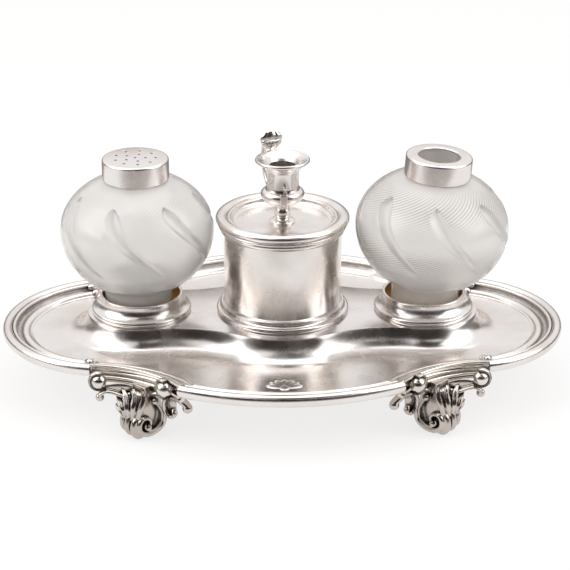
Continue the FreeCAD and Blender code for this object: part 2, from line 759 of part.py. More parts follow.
def leaned(shape):
    """Piece of the ink pot leaned on the edge of its foot, clear of the island by the seat gap."""
    x, y = turned(POT_FOOT_RADIUS, 0, INK_LEAN_HEADING)
    axis = V(-y, x, 0)
    copy = rotated(shape, V(x, y, 0), axis, INK_LEAN)
    slide = POT_FOOT_RADIUS * (1 - math.cos(math.radians(INK_LEAN)))
    dx, dy = turned(slide, 0, INK_LEAN_HEADING)
    return moved(copy, RING_X - dx, -dy, ISLAND_Z + INK_SEAT_GAP)


def box_pieces():
    inner = BOX_RADIUS - BOX_SHEET
    return {
        "box_wall": tube(BOX_RADIUS, inner, ISLAND_Z, BOX_HEIGHT),
        "box_floor": Part.makeCylinder(inner, BOX_SHEET, V(0, 0, ISLAND_Z)),
        "box_base_moulding": spun_shares(
            BASE_MOULDING_SHARES, BOX_RADIUS, BASE_MOULDING_RADIUS, ISLAND_Z, BASE_MOULDING_HEIGHT),
        "box_top_moulding": spun_shares(
            TOP_MOULDING_SHARES, BOX_RADIUS, TOP_MOULDING_RADIUS,
            LID_Z - TOP_MOULDING_HEIGHT, TOP_MOULDING_HEIGHT),
    }


def candle_stem():
    """Stud, foot disc, knop and stem, turned in one."""
    low = LID_Z - NUT_HEIGHT - STUD_END
    outline = [V(0, 0, low), V(STUD_RADIUS, 0, low), V(STUD_RADIUS, 0, STEM_Z)]
    outline += mapped(STEM_SHARES, lambda a, b: V(a * STEM_RADIUS, 0, STEM_Z + b * STEM_HEIGHT))
    outline.append(V(0, 0, SOCKET_Z))
    return spun(outline)


def stem_nut():
    corners = []
    for index in range(NUT_SIDES):
        x, y = turned(NUT_RADIUS, 0, FULL_TURN * index / NUT_SIDES)
        corners.append(V(x, y, LID_Z - NUT_HEIGHT))
    block = Part.Face(Part.makePolygon(corners + corners[:1])).extrude(V(0, 0, NUT_HEIGHT))
    return block.cut(Part.makeCylinder(STUD_RADIUS, NUT_HEIGHT, V(0, 0, LID_Z - NUT_HEIGHT)))


def candle_socket():
    """Cup with a bulged foot, a straight tube and a flared lip, bored for a taper."""
    def place(a, b):
        return V(a * SOCKET_RADIUS, 0, SOCKET_Z + b * SOCKET_HEIGHT)
    mouth = V(TAPER_RADIUS, 0, SOCKET_Z + SOCKET_MOUTH_SHARE * SOCKET_HEIGHT)
    bottom = mouth - UP * TAPER_DEPTH
    outline = [V(0, 0, SOCKET_Z)] + mapped(SOCKET_SHARES, place)
    outline += [(place(*SOCKET_DISH_SHARES), mouth), bottom, V(0, 0, bottom.z)]
    return spun(outline)


def socket_lug(socket):
    """Plate before the socket's bulge with its tongue and rivet."""
    front = LUG_STAND_OFF + SOCKET_RADIUS * SOCKET_BULB_SHARE
    low = SOCKET_Z + LUG_DROP_SHARE * SOCKET_HEIGHT
    top = low + LUG_HEIGHT
    plate = Part.makeBox(LUG_WIDTH, LUG_THICKNESS, LUG_HEIGHT, V(LUG_OFFSET - LUG_WIDTH / 2, -front, low))
    tongue = Part.makeBox(TONGUE_WIDTH, TONGUE_THICKNESS, LUG_HEIGHT / 2 + TONGUE_HEIGHT,
                          V(LUG_OFFSET, LUG_THICKNESS - front, top - LUG_HEIGHT / 2))
    rivet_spot = V(LUG_OFFSET + TONGUE_WIDTH / 2, -SOCKET_RADIUS * SOCKET_TUBE_SHARE, top + TONGUE_HEIGHT)
    rivet = Part.makeCylinder(RIVET_RADIUS, RIVET_LENGTH, rivet_spot, V(0, -1, 0))
    return plate.fuse(tongue).fuse(rivet).cut(socket)


def handle_place(reach_share, rise_share):
    """Point of the handle's upright plane, straight behind the socket before it is turned."""
    return V(0, reach_share * HANDLE_REACH, SOCKET_Z + rise_share * HANDLE_SPAN)


def handle_loop(socket):
    points = [handle_place(a, b) for a, b in HANDLE_SHARES]
    bar = swept(points, HANDLE_TUBE)
    bar.rotate(V(0, 0, 0), UP, HANDLE_HEADING)
    return bar.cut(socket)


def thumb_leaf(loop):
    """Three-lobed thumb-piece on the top of the loop."""
    root = handle_place(LEAF_REACH_SHARE, LEAF_FOOT_SHARE)
    rise = LEAF_HEIGHT / 3
    core = moved(ellipsoid(LEAF_WIDTH / 2, LEAF_DEPTH, LEAF_HEIGHT), root.x, root.y, root.z + rise)
    length = 2 * LEAF_HEIGHT * LEAF_LOBE_LENGTH_SHARE
    lobes = []
    for across, lift in LEAF_LOBE_SHARES:
        lobe = ellipsoid(LEAF_WIDTH * LEAF_LOBE_WIDTH_SHARE, LEAF_DEPTH, length)
        lobe.rotate(V(0, 0, 0), V(0, 1, 0), across * LEAF_LOBE_TILT)
        x = root.x + across * LEAF_WIDTH / 2
        lobes.append(moved(lobe, x, root.y, root.z + (1 + lift) * rise))
    leaf = core.fuse(lobes)
    leaf.rotate(V(0, 0, 0), UP, HANDLE_HEADING)
    return leaf.cut(loop)


def front_ornament():
    """Fan of pointed petals on a boss, in low relief."""
    length = ORNAMENT_SIZE / 2
    root = ORNAMENT_SIZE * PETAL_ROOT_SHARE
    half = ORNAMENT_SIZE * PETAL_WIDTH_SHARE / 2
    middle = (root + length) / 2
    foot_point = V(0, root, 0)
    tip = V(0, length, 0)
    outline = [foot_point, (V(half, middle, 0), tip), (V(-half, middle, 0), foot_point)]
    petals = []
    for index in range(PETALS):
        angle = PETAL_FAN * (index / (PETALS - 1) - 1 / 2)
        petal = face_of(outline).extrude(V(0, 0, ORNAMENT_RELIEF))
        petal.rotate(V(0, 0, 0), UP, angle)
        petals.append(petal)
    boss_radius = ORNAMENT_SIZE * ORNAMENT_BOSS_SHARE
    boss = Part.makeCylinder(boss_radius, ORNAMENT_RELIEF)
    y = boss_radius + ORNAMENT_GAP + BORDER_WIDTH - TRAY_DEPTH / 2
    return moved(boss.fuse(petals).removeSplitter(), 0, y, WELL_Z)


def tray_pieces():
    rows = (("front", -1), ("back", 1))
    columns = (("left", -1), ("right", 1))
    pieces = {
        "tray_body": tray_body(),
        "pounce_ring": moved(pot_ring(), -RING_X, 0),
        "ink_ring": moved(pot_ring(), RING_X, 0),
        "front_ornament": front_ornament(),
    }
    for column, side_x in columns:
        pieces["border_" + column] = end_border(side_x)
    for row, side_y in rows:
        pieces["border_" + row] = side_border(side_y)
    casting = foot_casting()
    for row, side_y in rows:
        for column, side_x in columns:
            corner = CORNERS[side_x, side_y]
            lobes = [mirrored(pieces["border_" + side], side_x, side_y) for side in (row, column)]
            scroll = corner_border(corner, lobes)
            leg = foot(corner, casting, lobes + [scroll])
            pieces["corner_" + row + "_" + column] = mirrored(scroll, side_x, side_y)
            pieces["foot_" + row + "_" + column] = mirrored(leg, side_x, side_y)
    return pieces


def lid_pieces():
    hole = STUD_RADIUS + STUD_SLIP
    bezel = BOX_RADIUS - BOX_SHEET - BEZEL_SLIP
    socket = candle_socket()
    loop = handle_loop(socket)
    return {
        "lid_plate": spun_shares(LID_PLATE_SHARES, hole, LID_PLATE_RADIUS, LID_Z, LID_HEIGHT),
        "lid_rim": spun_shares(LID_RIM_SHARES, LID_PLATE_RADIUS, LID_RADIUS, LID_Z, LID_HEIGHT),
        "lid_bezel": tube(bezel, bezel - BEZEL_WALL, LID_Z - BEZEL_DEPTH, BEZEL_DEPTH),
        "candle_stem": candle_stem(),
        "stem_nut": stem_nut(),
        "candle_socket": socket,
        "socket_lug": socket_lug(socket),
        "handle_loop": loop,
        "thumb_leaf": thumb_leaf(loop),
    }


def pot_pieces():
    upright = -RING_X + POUNCE_POT_SHIFT
    return {
        "pounce_glass": moved(pot_glass(), upright, 0, ISLAND_Z),
        "pounce_neck_band": moved(neck_band(), upright, 0, ISLAND_Z),
        "pounce_cap": moved(pounce_cap(), upright, 0, ISLAND_Z),
        "ink_glass": leaned(pot_glass()),
        "ink_neck_band": leaned(neck_band()),
        "ink_collar": leaned(ink_collar()),
    }


def main():
    os.makedirs("parts", exist_ok=True)
    pieces = {}
    for group in (tray_pieces(), box_pieces(), lid_pieces(), pot_pieces()):
        pieces.update(group)
    for name, shape in pieces.items():
        shape.exportStep("parts/" + name + ".step")


main()
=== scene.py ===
"""Looks of the silver inkstand: the footed tray, the glass pots in their rings and the box with its taper lid.

Meshes are made in millimetres in the model's own frame and brought to metres when a piece is finished.
"""
import logging
import math
from dataclasses import dataclass, field
from enum import Enum
from typing import Callable, Iterable, Sequence

import bmesh
import bpy
from bmesh.types import BMEdge, BMesh, BMVert
from mathutils import Matrix, Vector
from mathutils.bvhtree import BVHTree


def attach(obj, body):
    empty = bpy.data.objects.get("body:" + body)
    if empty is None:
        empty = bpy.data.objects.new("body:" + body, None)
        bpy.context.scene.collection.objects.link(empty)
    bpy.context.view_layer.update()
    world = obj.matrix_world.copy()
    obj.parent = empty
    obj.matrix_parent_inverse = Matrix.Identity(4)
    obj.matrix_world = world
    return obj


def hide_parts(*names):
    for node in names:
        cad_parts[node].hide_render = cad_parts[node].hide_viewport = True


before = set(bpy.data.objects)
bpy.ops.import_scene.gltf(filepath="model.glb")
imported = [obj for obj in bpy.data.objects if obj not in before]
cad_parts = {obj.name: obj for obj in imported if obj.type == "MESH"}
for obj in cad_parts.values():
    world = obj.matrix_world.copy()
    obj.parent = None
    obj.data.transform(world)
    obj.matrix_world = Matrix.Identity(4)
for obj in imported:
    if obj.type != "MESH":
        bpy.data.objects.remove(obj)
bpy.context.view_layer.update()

LOG = logging.getLogger("inkstand")
MM = 0.001
FULL_TURN = 2.0 * math.pi
UP = Vector((0.0, 0.0, 1.0))
WHITE = "#ffffff"
Pair = tuple[float, float]
Shares = Sequence[tuple]
Place = Callable[[float, float], Vector]


class Body(Enum):
    """Rigid bodies that pieces ride on."""

    TRAY = "tray"
    LID = "lid"
    POUNCE_POT = "pounce_pot"
    POUNCE_CAP = "pounce_cap"
    INK_POT = "ink_pot"
    INK_COLLAR = "ink_collar"


class Slot(Enum):
    """Material slots of the record."""

    SILVER = "silver"
    CAST = "cast_silver"
    GLASS = "cut_glass"


class Side(Enum):
    """Corners of the tray, with the signs of their X and Y."""

    FRONT_LEFT = (-1, -1)
    FRONT_RIGHT = (1, -1)
    BACK_LEFT = (-1, 1)
    BACK_RIGHT = (1, 1)

    def matrix(self) -> Matrix:
        """Mirror that takes a right front piece to this corner."""
        return Matrix.Diagonal((self.value[0], -self.value[1], 1.0, 1.0))

    def signs(self) -> Vector:
        """Factors of that mirror."""
        return Vector((self.value[0], -self.value[1], 1.0))


def colour(code: str) -> tuple[float, float, float, float]:
    """Linear colour of an sRGB hex code.

    Args:
        code: six hex digits after a hash sign.
    Returns:
        Red, green, blue and alpha.
    """
    parts = [int(code[i:i + 2], 16) / 255.0 for i in (1, 3, 5)]
    linear = [p / 12.92 if p <= 0.04045 else ((p + 0.055) / 1.055) ** 2.4 for p in parts]
    return (*linear, 1.0)


def add_node(tree: bpy.types.NodeTree, kind: str, settings: dict | None = None,
             links: dict | None = None) -> bpy.types.Node:
    """Add a shader node with its settings and links.

    Args:
        tree: tree that gets the node.
        kind: the node's type name.
        settings: attribute or input names, or input numbers, with their values.
        links: input names or numbers with the output sockets that feed them.
    Returns:
        The new node.
    """
    node = tree.nodes.new(kind)
    for key, value in (settings or {}).items():
        if isinstance(key, str) and hasattr(node, key):
            setattr(node, key, value)
        else:
            node.inputs[key].default_value = value
    for key, socket in (links or {}).items():
        tree.links.new(socket, node.inputs[key])
    return node


def empty_material(name: str) -> tuple[bpy.types.Material, bpy.types.NodeTree]:
    """New material with an empty node tree.

    Args:
        name: the material's name.
    Returns:
        The material and its tree.
    """
    material = bpy.data.materials.new(name)
    material.use_nodes = True
    material.node_tree.nodes.clear()
    return material, material.node_tree


def noise(tree: bpy.types.NodeTree, size_mm: float, detail: float,
          place: bpy.types.NodeSocket) -> bpy.types.NodeSocket:
    """Value of a noise with a real grain size."""
    return add_node(tree, "ShaderNodeTexNoise", {"Scale": 1.0 / (size_mm * MM), "Detail": detail},
                    {"Vector": place}).outputs["Fac"]


@dataclass(frozen=True)
class Silver:
    """Polished sterling silver, hand-worn: mirror-like, with soft smears, hair scratches and a warm film; where a
    hollow colour is given, painted shade with dark tarnish in its hollows.
    """

    name: str
    bright: str = "#e9e4e1"
    film: str = "#cfc3b9"
    smooth: float = 0.19
    dull: float = 0.31
    smear_mm: float = 14.0
    film_mm: float = 30.0
    scratch_mm: float = 0.5
    grain_mm: float = 1.6
    # Colour of the hollows: painted shade together with the dark tarnish there; empty for none.
    hollow_shade_and_tarnish: str = ""
    hollow_shade_from: float = 0.34
    hollow_shade_to: float = 0.74

    def material(self) -> bpy.types.Material:
        """Build the node material.

        Returns:
            The material.
        """
        material, tree = empty_material(self.name)
        place = add_node(tree, "ShaderNodeTexCoord").outputs["Object"]
        smear = noise(tree, self.smear_mm, 4.0, place)
        film = noise(tree, self.film_mm, 3.0, place)
        amount = add_node(tree, "ShaderNodeMapRange", {"From Min": 0.42, "From Max": 0.75, "To Max": 0.55},
                          {"Value": film})
        tint = add_node(tree, "ShaderNodeMix", {"data_type": "RGBA", 6: colour(self.bright), 7: colour(self.film)},
                        {"Factor": amount.outputs["Result"]}).outputs[2]
        rough = add_node(tree, "ShaderNodeMapRange", {"From Min": 0.35, "From Max": 0.7, "To Min": self.smooth,
                                                      "To Max": self.dull}, {"Value": smear})
        rough_out = rough.outputs["Result"]
        # Painted shade: hollows darken, and roughen, by how shut in each vertex is, together with the dark tarnish they
        # hold.
        if self.hollow_shade_and_tarnish:
            recess_shade = add_node(tree, "ShaderNodeAttribute", {"attribute_name": "recess"}).outputs["Fac"]
            shaken = add_node(tree, "ShaderNodeMath", {"operation": "MULTIPLY_ADD", 1: 0.22, 2: -0.11},
                              {0: noise(tree, self.grain_mm, 3.0, place)})
            deep = add_node(tree, "ShaderNodeMath", {"operation": "ADD"}, {0: recess_shade, 1: shaken.outputs[0]})
            dark = add_node(tree, "ShaderNodeMapRange", {"interpolation_type": "SMOOTHSTEP", "To Max": 0.92,
                                                         "From Min": self.hollow_shade_from, "From Max": self.hollow_shade_to},
                            {"Value": deep.outputs[0]})
            tint = add_node(tree, "ShaderNodeMix", {"data_type": "RGBA", 7: colour(self.hollow_shade_and_tarnish)},
                            {"Factor": dark.outputs["Result"], 6: tint}).outputs[2]
            rough_out = add_node(tree, "ShaderNodeMath", {"operation": "MULTIPLY_ADD", 1: 0.3, "use_clamp": True},
                                 {0: dark.outputs["Result"], 2: rough_out}).outputs[0]
        hair = add_node(tree, "ShaderNodeMapping", {"Scale": (1.0, 0.12, 1.0)}, {"Vector": place})
        scratch = noise(tree, self.scratch_mm, 2.0, hair.outputs["Vector"])
        bump = add_node(tree, "ShaderNodeBump", {"Strength": 0.012, "Distance": 0.2 * MM},
                        {"Height": scratch})
        shader = add_node(tree, "ShaderNodeBsdfPrincipled", {"Metallic": 1.0},
                          {"Base Color": tint, "Roughness": rough_out, "Normal": bump.outputs["Normal"]})
        add_node(tree, "ShaderNodeOutputMaterial", links={"Surface": shader.outputs["BSDF"]})
        return material


@dataclass(frozen=True)
class CutGlass:
    """Milky frosted glass, warm where it is thick, with wheel-cut hair lines and polished flutes."""

    name: str = "frosted_cut_glass"
    body: str = "#fdfcfb"
    line: str = "#cfc9c4"
    thick: str = "#f6ece0"
    per_metre: float = 22.0
    matte: float = 0.15
    polished: float = 0.05
    clear: float = 0.67
    line_mm: float = 1.4
    frost_mm: float = 2.4

    def material(self) -> bpy.types.Material:
        """Build the node material; lines follow the piece's own swirl coordinates.

        Returns:
            The material.
        """
        material, tree = empty_material(self.name)
        flute = add_node(tree, "ShaderNodeAttribute", {"attribute_name": "flute"}).outputs["Fac"]
        swirl = add_node(tree, "ShaderNodeAttribute", {"attribute_name": "swirl"}).outputs["Fac"]
        lined = add_node(tree, "ShaderNodeAttribute", {"attribute_name": "lined"}).outputs["Fac"]
        turns = add_node(tree, "ShaderNodeMath", {"operation": "MULTIPLY", 1: FULL_TURN / self.line_mm}, {0: swirl})
        wave = add_node(tree, "ShaderNodeMath", {"operation": "SINE"}, {0: turns.outputs[0]})
        groove = add_node(tree, "ShaderNodeMapRange", {"From Min": 0.1, "From Max": 0.9}, {"Value": wave.outputs[0]})
        cut = add_node(tree, "ShaderNodeMath", {"operation": "MULTIPLY"}, {0: groove.outputs["Result"], 1: lined})
        tint = add_node(tree, "ShaderNodeMix", {"data_type": "RGBA", 6: colour(self.body), 7: colour(self.line)},
                        {"Factor": cut.outputs[0]})
        rough = add_node(tree, "ShaderNodeMapRange", {"To Min": self.matte, "To Max": self.polished}, {"Value": flute})
        place = add_node(tree, "ShaderNodeTexCoord").outputs["Object"]
        height = add_node(tree, "ShaderNodeMath", {"operation": "MULTIPLY_ADD", 1: -2.0},
                          {0: cut.outputs[0], 2: noise(tree, self.frost_mm, 2.0, place)})
        bump = add_node(tree, "ShaderNodeBump", {"Strength": 0.4, "Distance": 0.12 * MM}, {"Height": height.outputs[0]})
        shader = add_node(tree, "ShaderNodeBsdfPrincipled", {"Transmission Weight": self.clear, "IOR": 1.5},
                          {"Base Color": tint.outputs[2], "Roughness": rough.outputs["Result"],
                           "Normal": bump.outputs["Normal"]})
        depth = add_node(tree, "ShaderNodeVolumeAbsorption", {"Color": colour(self.thick), "Density": self.per_metre})
        add_node(tree, "ShaderNodeOutputMaterial",
                 links={"Surface": shader.outputs["BSDF"], "Volume": depth.outputs[0]})
        return material


@dataclass
class Finishes:
    """Materials of the object, each made once."""

    silver: bpy.types.Material = field(default_factory=lambda: Silver("polished_silver").material())
    satin: bpy.types.Material = field(
        default_factory=lambda: Silver("satin_silver", smooth=0.2, dull=0.3, smear_mm=8.0).material())
    # Border silver whose hollows get painted shade together with dark tarnish.
    tarnish_and_shade: bpy.types.Material = field(default_factory=lambda: Silver(
        "tarnish_and_shade_silver", hollow_shade_and_tarnish="#6a5e55", hollow_shade_from=0.2, hollow_shade_to=0.7).material())
    # Cast silver whose hollows get painted shade together with dark tarnish.
    cast: bpy.types.Material = field(default_factory=lambda: Silver(
        "cast_silver", bright="#e2dcd6", film="#b9aea4", smooth=0.14, dull=0.28, smear_mm=6.0,
        hollow_shade_and_tarnish="#40362f").material())
    # Darker copy of the cast silver for the feet: partly their real tarnish, partly painted shade for the dim table
    # they mirror; their hollows get painted shade and dark tarnish.
    deep_tarnish_and_shade: bpy.types.Material = field(default_factory=lambda: Silver(
        "deep_tarnish_and_shade_silver", bright="#cac2bb", film="#9f948b", smooth=0.16, dull=0.28, smear_mm=5.0, hollow_shade_and_tarnish="#2c2520",
        hollow_shade_from=0.24, hollow_shade_to=0.62).material())
    gilt: bpy.types.Material = field(default_factory=lambda: Silver(
        "gilt_wash", bright="#e6c48f", film="#b98a55", smooth=0.22, dull=0.38).material())
    glass: bpy.types.Material = field(default_factory=lambda: CutGlass().material())


def level(angle: float) -> Vector:
    """Level unit vector at an angle from X."""
    return Vector((math.cos(angle), math.sin(angle), 0.0))


def section_of(*pairs: Pair) -> list[Vector]:
    """Points of the XZ plane from their distances to the axis and heights."""
    return [Vector((r, 0.0, z)) for r, z in pairs]


def arc(start: Vector, via: Vector, end: Vector, steps: int) -> list[Vector]:
    """Points after the start, up to the end, on the arc through three points of the XZ plane.

    Args:
        start: first point.
        via: point on the way.
        end: last point.
        steps: number of spans.
    Returns:
        The points.
    """
    a, b = via - start, end - start
    cross = 2.0 * (a.x * b.z - a.z * b.x)
    if abs(cross) < 1e-9:
        return [start.lerp(end, i / steps) for i in range(1, steps + 1)]
    centre = start + Vector(((b.z * a.length_squared - a.z * b.length_squared) / cross, 0.0,
                             (a.x * b.length_squared - b.x * a.length_squared) / cross))
    radius = (start - centre).length
    angles = [math.atan2(p.z - centre.z, p.x - centre.x) for p in (start, via, end)]
    turn = (angles[2] - angles[0]) % FULL_TURN
    if (angles[1] - angles[0]) % FULL_TURN > turn:
        turn -= FULL_TURN
    spread = [angles[0] + turn * i / steps for i in range(1, steps + 1)]
    return [centre + Vector((radius * math.cos(t), 0.0, radius * math.sin(t))) for t in spread]


def drawn(shares: Shares, place: Place, steps: int = 10) -> list[Vector]:
    """Outline of a table of shares: one pair is reached by a line, two pairs by an arc.

    Args:
        shares: the table.
        place: function that places a pair of shares.
        steps: spans of each arc.
    Returns:
        The outline's points.
    """
    points: list[Vector] = []
    for step in shares:
        if isinstance(step[0], tuple):
            points += arc(points[-1], place(*step[0]), place(*step[1]), steps)
        else:
            points.append(place(*step))
    return points


def ring_place(inner: float, outer: float, low: float, height: float) -> Place:
    """Place function of a ring's section: shares of its wall and of its height."""
    return lambda a, b: Vector((inner + a * (outer - inner), 0.0, low + b * height))


def flowing(points: Sequence[Vector], spans: int) -> list[Vector]:
    """Smooth line through points.

    Args:
        points: points it passes through.
        spans: spans between two points.
    Returns:
        The line's points.
    """
    whole = [2 * points[0] - points[1], *points, 2 * points[-1] - points[-2]]
    line = []
    for p0, p1, p2, p3 in zip(whole, whole[1:], whole[2:], whole[3:]):
        for i in range(spans):
            t = i / spans
            line.append(0.5 * ((2 * p1) + (p2 - p0) * t + (2 * p0 - 5 * p1 + 4 * p2 - p3) * t ** 2
                               + (3 * p1 - p0 - 3 * p2 + p3) * t ** 3))
    return [*line, points[-1].copy()]


def eased(table: Sequence[float], t: float) -> float:
    """Value between the evenly spaced entries of a table, t from 0 to 1."""
    spot = min(max(t, 0.0), 1.0) * (len(table) - 1)
    index = min(int(spot), len(table) - 2)
    part = spot - index
    part = part * part * (3.0 - 2.0 * part)
    return table[index] * (1.0 - part) + table[index + 1] * part


def wire(bm: BMesh, points: Iterable[Vector], closed: bool) -> list[BMEdge]:
    """Add a line of vertices and edges.

    Args:
        bm: mesh that gets them.
        points: the line's points.
        closed: whether the last point joins the first.
    Returns:
        The edges.
    """
    verts = [bm.verts.new(p) for p in points]
    following = verts[1:] + (verts[:1] if closed else [])
    return [bm.edges.new(pair) for pair in zip(verts, following)]


def lathe(bm: BMesh, outline: Sequence[Vector], segments: int, closed: bool = False) -> list[BMVert]:
    """Turn an outline of the XZ plane about Z.

    Args:
        bm: mesh that gets the turned shape.
        outline: section, closed for a ring, or from the axis to the axis.
        segments: faces around.
        closed: whether the outline is a loop.
    Returns:
        The new vertices.
    """
    before = set(bm.verts)
    edges = wire(bm, outline, closed)
    verts = [v for v in bm.verts if v not in before]
    bmesh.ops.spin(bm, geom=verts + edges, cent=(0, 0, 0), axis=UP, angle=FULL_TURN, steps=segments, use_merge=True)
    made = [v for v in bm.verts if v not in before]
    bmesh.ops.remove_doubles(bm, verts=made, dist=1e-4)
    return [v for v in bm.verts if v not in before]


def ball(bm: BMesh, centre: Vector, radius: float, detail: int = 24) -> list[BMVert]:
    """Add a sphere and return its vertices."""
    return bmesh.ops.create_uvsphere(bm, u_segments=detail, v_segments=detail * 2 // 3, radius=radius,
                                     matrix=Matrix.Translation(centre))["verts"]


def sweep(bm: BMesh, points: Sequence[Vector], sizes: Callable[[float], Pair], facing: Vector, sides: int = 16) -> None:
    """Oval bar along a line, its ends closed.

    Args:
        bm: mesh that gets the bar.
        points: the line.
        sizes: half sizes along and across the facing direction, by the share of the line.
        facing: direction square to the plane that the line bends in.
        sides: faces around.
    """
    ways = [(b - a).normalized() for a, b in zip(points, points[1:])]
    ways = [ways[0]] + [(a + b).normalized() for a, b in zip(ways, ways[1:])] + [ways[-1]]
    frames = []
    for index, (point, way) in enumerate(zip(points, ways)):
        across = way.cross(facing).normalized()
        flat = across.cross(way).normalized()
        wide, thick = sizes(index / (len(points) - 1))
        turn = Matrix((flat * wide, across * thick, way)).transposed().to_4x4()
        frames.append(Matrix.Translation(point) @ turn)
    verts = bmesh.ops.create_circle(bm, cap_ends=True, segments=sides, radius=1.0, matrix=frames[0])["verts"]
    edges = list({e for v in verts for e in v.link_edges})
    for before, after in zip(frames, frames[1:]):
        made = bmesh.ops.extrude_edge_only(bm, edges=edges)["geom"]
        verts = [g for g in made if isinstance(g, BMVert)]
        edges = [g for g in made if isinstance(g, BMEdge)]
        bmesh.ops.transform(bm, matrix=after @ before.inverted(), verts=verts)
    bmesh.ops.contextual_create(bm, geom=edges)


def rounded_block(bm: BMesh, low: Vector, high: Vector, edge: float) -> list[BMVert]:
    """Block between two corners with rounded edges.

    Args:
        bm: mesh that gets the block.
        low: lowest corner.
        high: highest corner.
        edge: radius of its edges.
    Returns:
        The block's vertices.
    """
    before = set(bm.verts)
    size = Matrix.Diagonal((*(high - low), 1.0))
    made = bmesh.ops.create_cube(bm, size=1.0, matrix=Matrix.Translation((low + high) / 2) @ size)["verts"]
    edges = list({e for v in made for e in v.link_edges})
    bmesh.ops.bevel(bm, geom=edges, offset=edge, affect="EDGES", segments=3, profile=0.5, material=-1)
    return [v for v in bm.verts if v not in before]


def scratch_object(name: str, bm: BMesh) -> bpy.types.Object:
    """Object of the scene that holds a mesh for a modifier; the mesh is freed."""
    mesh = bpy.data.meshes.new(name)
    bm.to_mesh(mesh)
    bm.free()
    holder = bpy.data.objects.new(name, mesh)
    bpy.context.scene.collection.objects.link(holder)
    return holder


def modified(holder: bpy.types.Object, *others: bpy.types.Object) -> BMesh:
    """Mesh of a scratch object with its modifiers applied.

    Args:
        holder: the object.
        others: objects that its modifiers use; all of them are removed.
    Returns:
        The mesh.
    """
    graph = bpy.context.evaluated_depsgraph_get()
    mesh = bpy.data.meshes.new_from_object(holder.evaluated_get(graph))
    for scratch in (holder, *others):
        bpy.data.objects.remove(scratch)
    whole = bmesh.new()
    whole.from_mesh(mesh)
    return whole


def cast_in_one(bm: BMesh, voxel: float, rounds: int) -> BMesh:
    """One skin over overlapping pieces, softened as a casting is.

    Args:
        bm: the overlapping pieces; it is freed.
        voxel: size of the skin's grid.
        rounds: smoothing rounds.
    Returns:
        The mesh with one skin.
    """
    holder = scratch_object("casting", bm)
    skin = holder.modifiers.new("skin", "REMESH")
    skin.mode = "VOXEL"
    skin.voxel_size = voxel
    whole = modified(holder)
    for _ in range(rounds):
        bmesh.ops.smooth_vert(whole, verts=whole.verts, factor=0.5, use_axis_x=True, use_axis_y=True, use_axis_z=True)
    return whole


def pierced(bm: BMesh, pins: BMesh) -> BMesh:
    """Mesh with pins cut out of it; both are freed."""
    holder, cutter = scratch_object("blank", bm), scratch_object("pins", pins)
    cut = holder.modifiers.new("holes", "BOOLEAN")
    cut.operation, cut.solver, cut.object = "DIFFERENCE", "EXACT", cutter
    return modified(holder, cutter)


def paint_recess_shade_and_tarnish(bm: BMesh, reach: float, rays: int = 20) -> None:
    """Note how deep in a recess each vertex lies, for the painted shade and dark tarnish laid there.

    Args:
        bm: mesh that gets the vertex attribute recess.
        reach: how far away a wall still counts.
        rays: looks taken from each vertex.
    """
    bm.normal_update()
    tree = BVHTree.FromBMesh(bm)
    layer = bm.verts.layers.float.new("recess")
    golden = math.pi * (3.0 - math.sqrt(5.0))
    looks = []
    for i in range(rays):
        up = 1.0 - (i + 0.5) / rays * 0.9
        side = math.sqrt(1.0 - up * up)
        looks.append(Vector((side * math.cos(golden * i), side * math.sin(golden * i), up)))
    for vert in bm.verts:
        turn = vert.normal.to_track_quat("Z", "Y")
        start = vert.co + vert.normal * (reach * 0.02)
        # Share of looks that meet a wall: how shut in the vertex is, which sets its painted shade and dark tarnish.
        hits = sum(tree.ray_cast(start, turn @ look, reach)[0] is not None for look in looks)
        vert[layer] = hits / rays
    for _ in range(2):
        means = [sum(e.other_vert(v)[layer] for e in v.link_edges) / max(len(v.link_edges), 1) for v in bm.verts]
        for vert, mean in zip(bm.verts, means):
            vert[layer] = 0.5 * vert[layer] + 0.5 * mean


@dataclass
class Piece:
    """Mesh under way, in millimetres, and what it stands for."""

    name: str
    body: Body
    slot: Slot
    nodes: tuple[str, ...]
    bm: BMesh = field(default_factory=bmesh.new)
    crease: float = 38.0

    def move(self, matrix: Matrix) -> None:
        """Bring the whole mesh to a place."""
        bmesh.ops.transform(self.bm, matrix=matrix, verts=self.bm.verts)

    def finish(self, *materials: bpy.types.Material, tidy: bool = True) -> bpy.types.Object:
        """Make the piece an object of the scene that rides on its body.

        Args:
            materials: the mesh's materials, in the order of its faces' numbers.
            tidy: whether normals are worked out again.
        Returns:
            The object.
        """
        if tidy:
            bmesh.ops.recalc_face_normals(self.bm, faces=self.bm.faces)
        bmesh.ops.scale(self.bm, vec=(MM, MM, MM), verts=self.bm.verts)
        mesh = bpy.data.meshes.new(self.name)
        self.bm.to_mesh(mesh)
        self.bm.free()
        mesh.polygons.foreach_set("use_smooth", [True] * len(mesh.polygons))
        mesh.set_sharp_from_angle(angle=math.radians(self.crease))
        for material in materials:
            mesh.materials.append(material)
        obj = bpy.data.objects.new(self.name, mesh)
        bpy.context.scene.collection.objects.link(obj)
        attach(obj, self.body.value)
        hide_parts(*self.nodes)
        LOG.info("%s: %d faces", self.name, len(mesh.polygons))
        return obj


def turned(node: str, body: Body, outline: Sequence[Vector], closed: bool, finish: bpy.types.Material,
           segments: int) -> None:
    """Make one silver piece turned about Z.

    Args:
        node: the node it stands for.
        body: the body it rides on.
        outline: its section.
        closed: whether the section is a loop.
        finish: its material.
        segments: faces around.
    """
    piece = Piece(f"{node}_turned", body, Slot.SILVER, (node,))
    lathe(piece.bm, outline, segments, closed)
    piece.finish(finish)


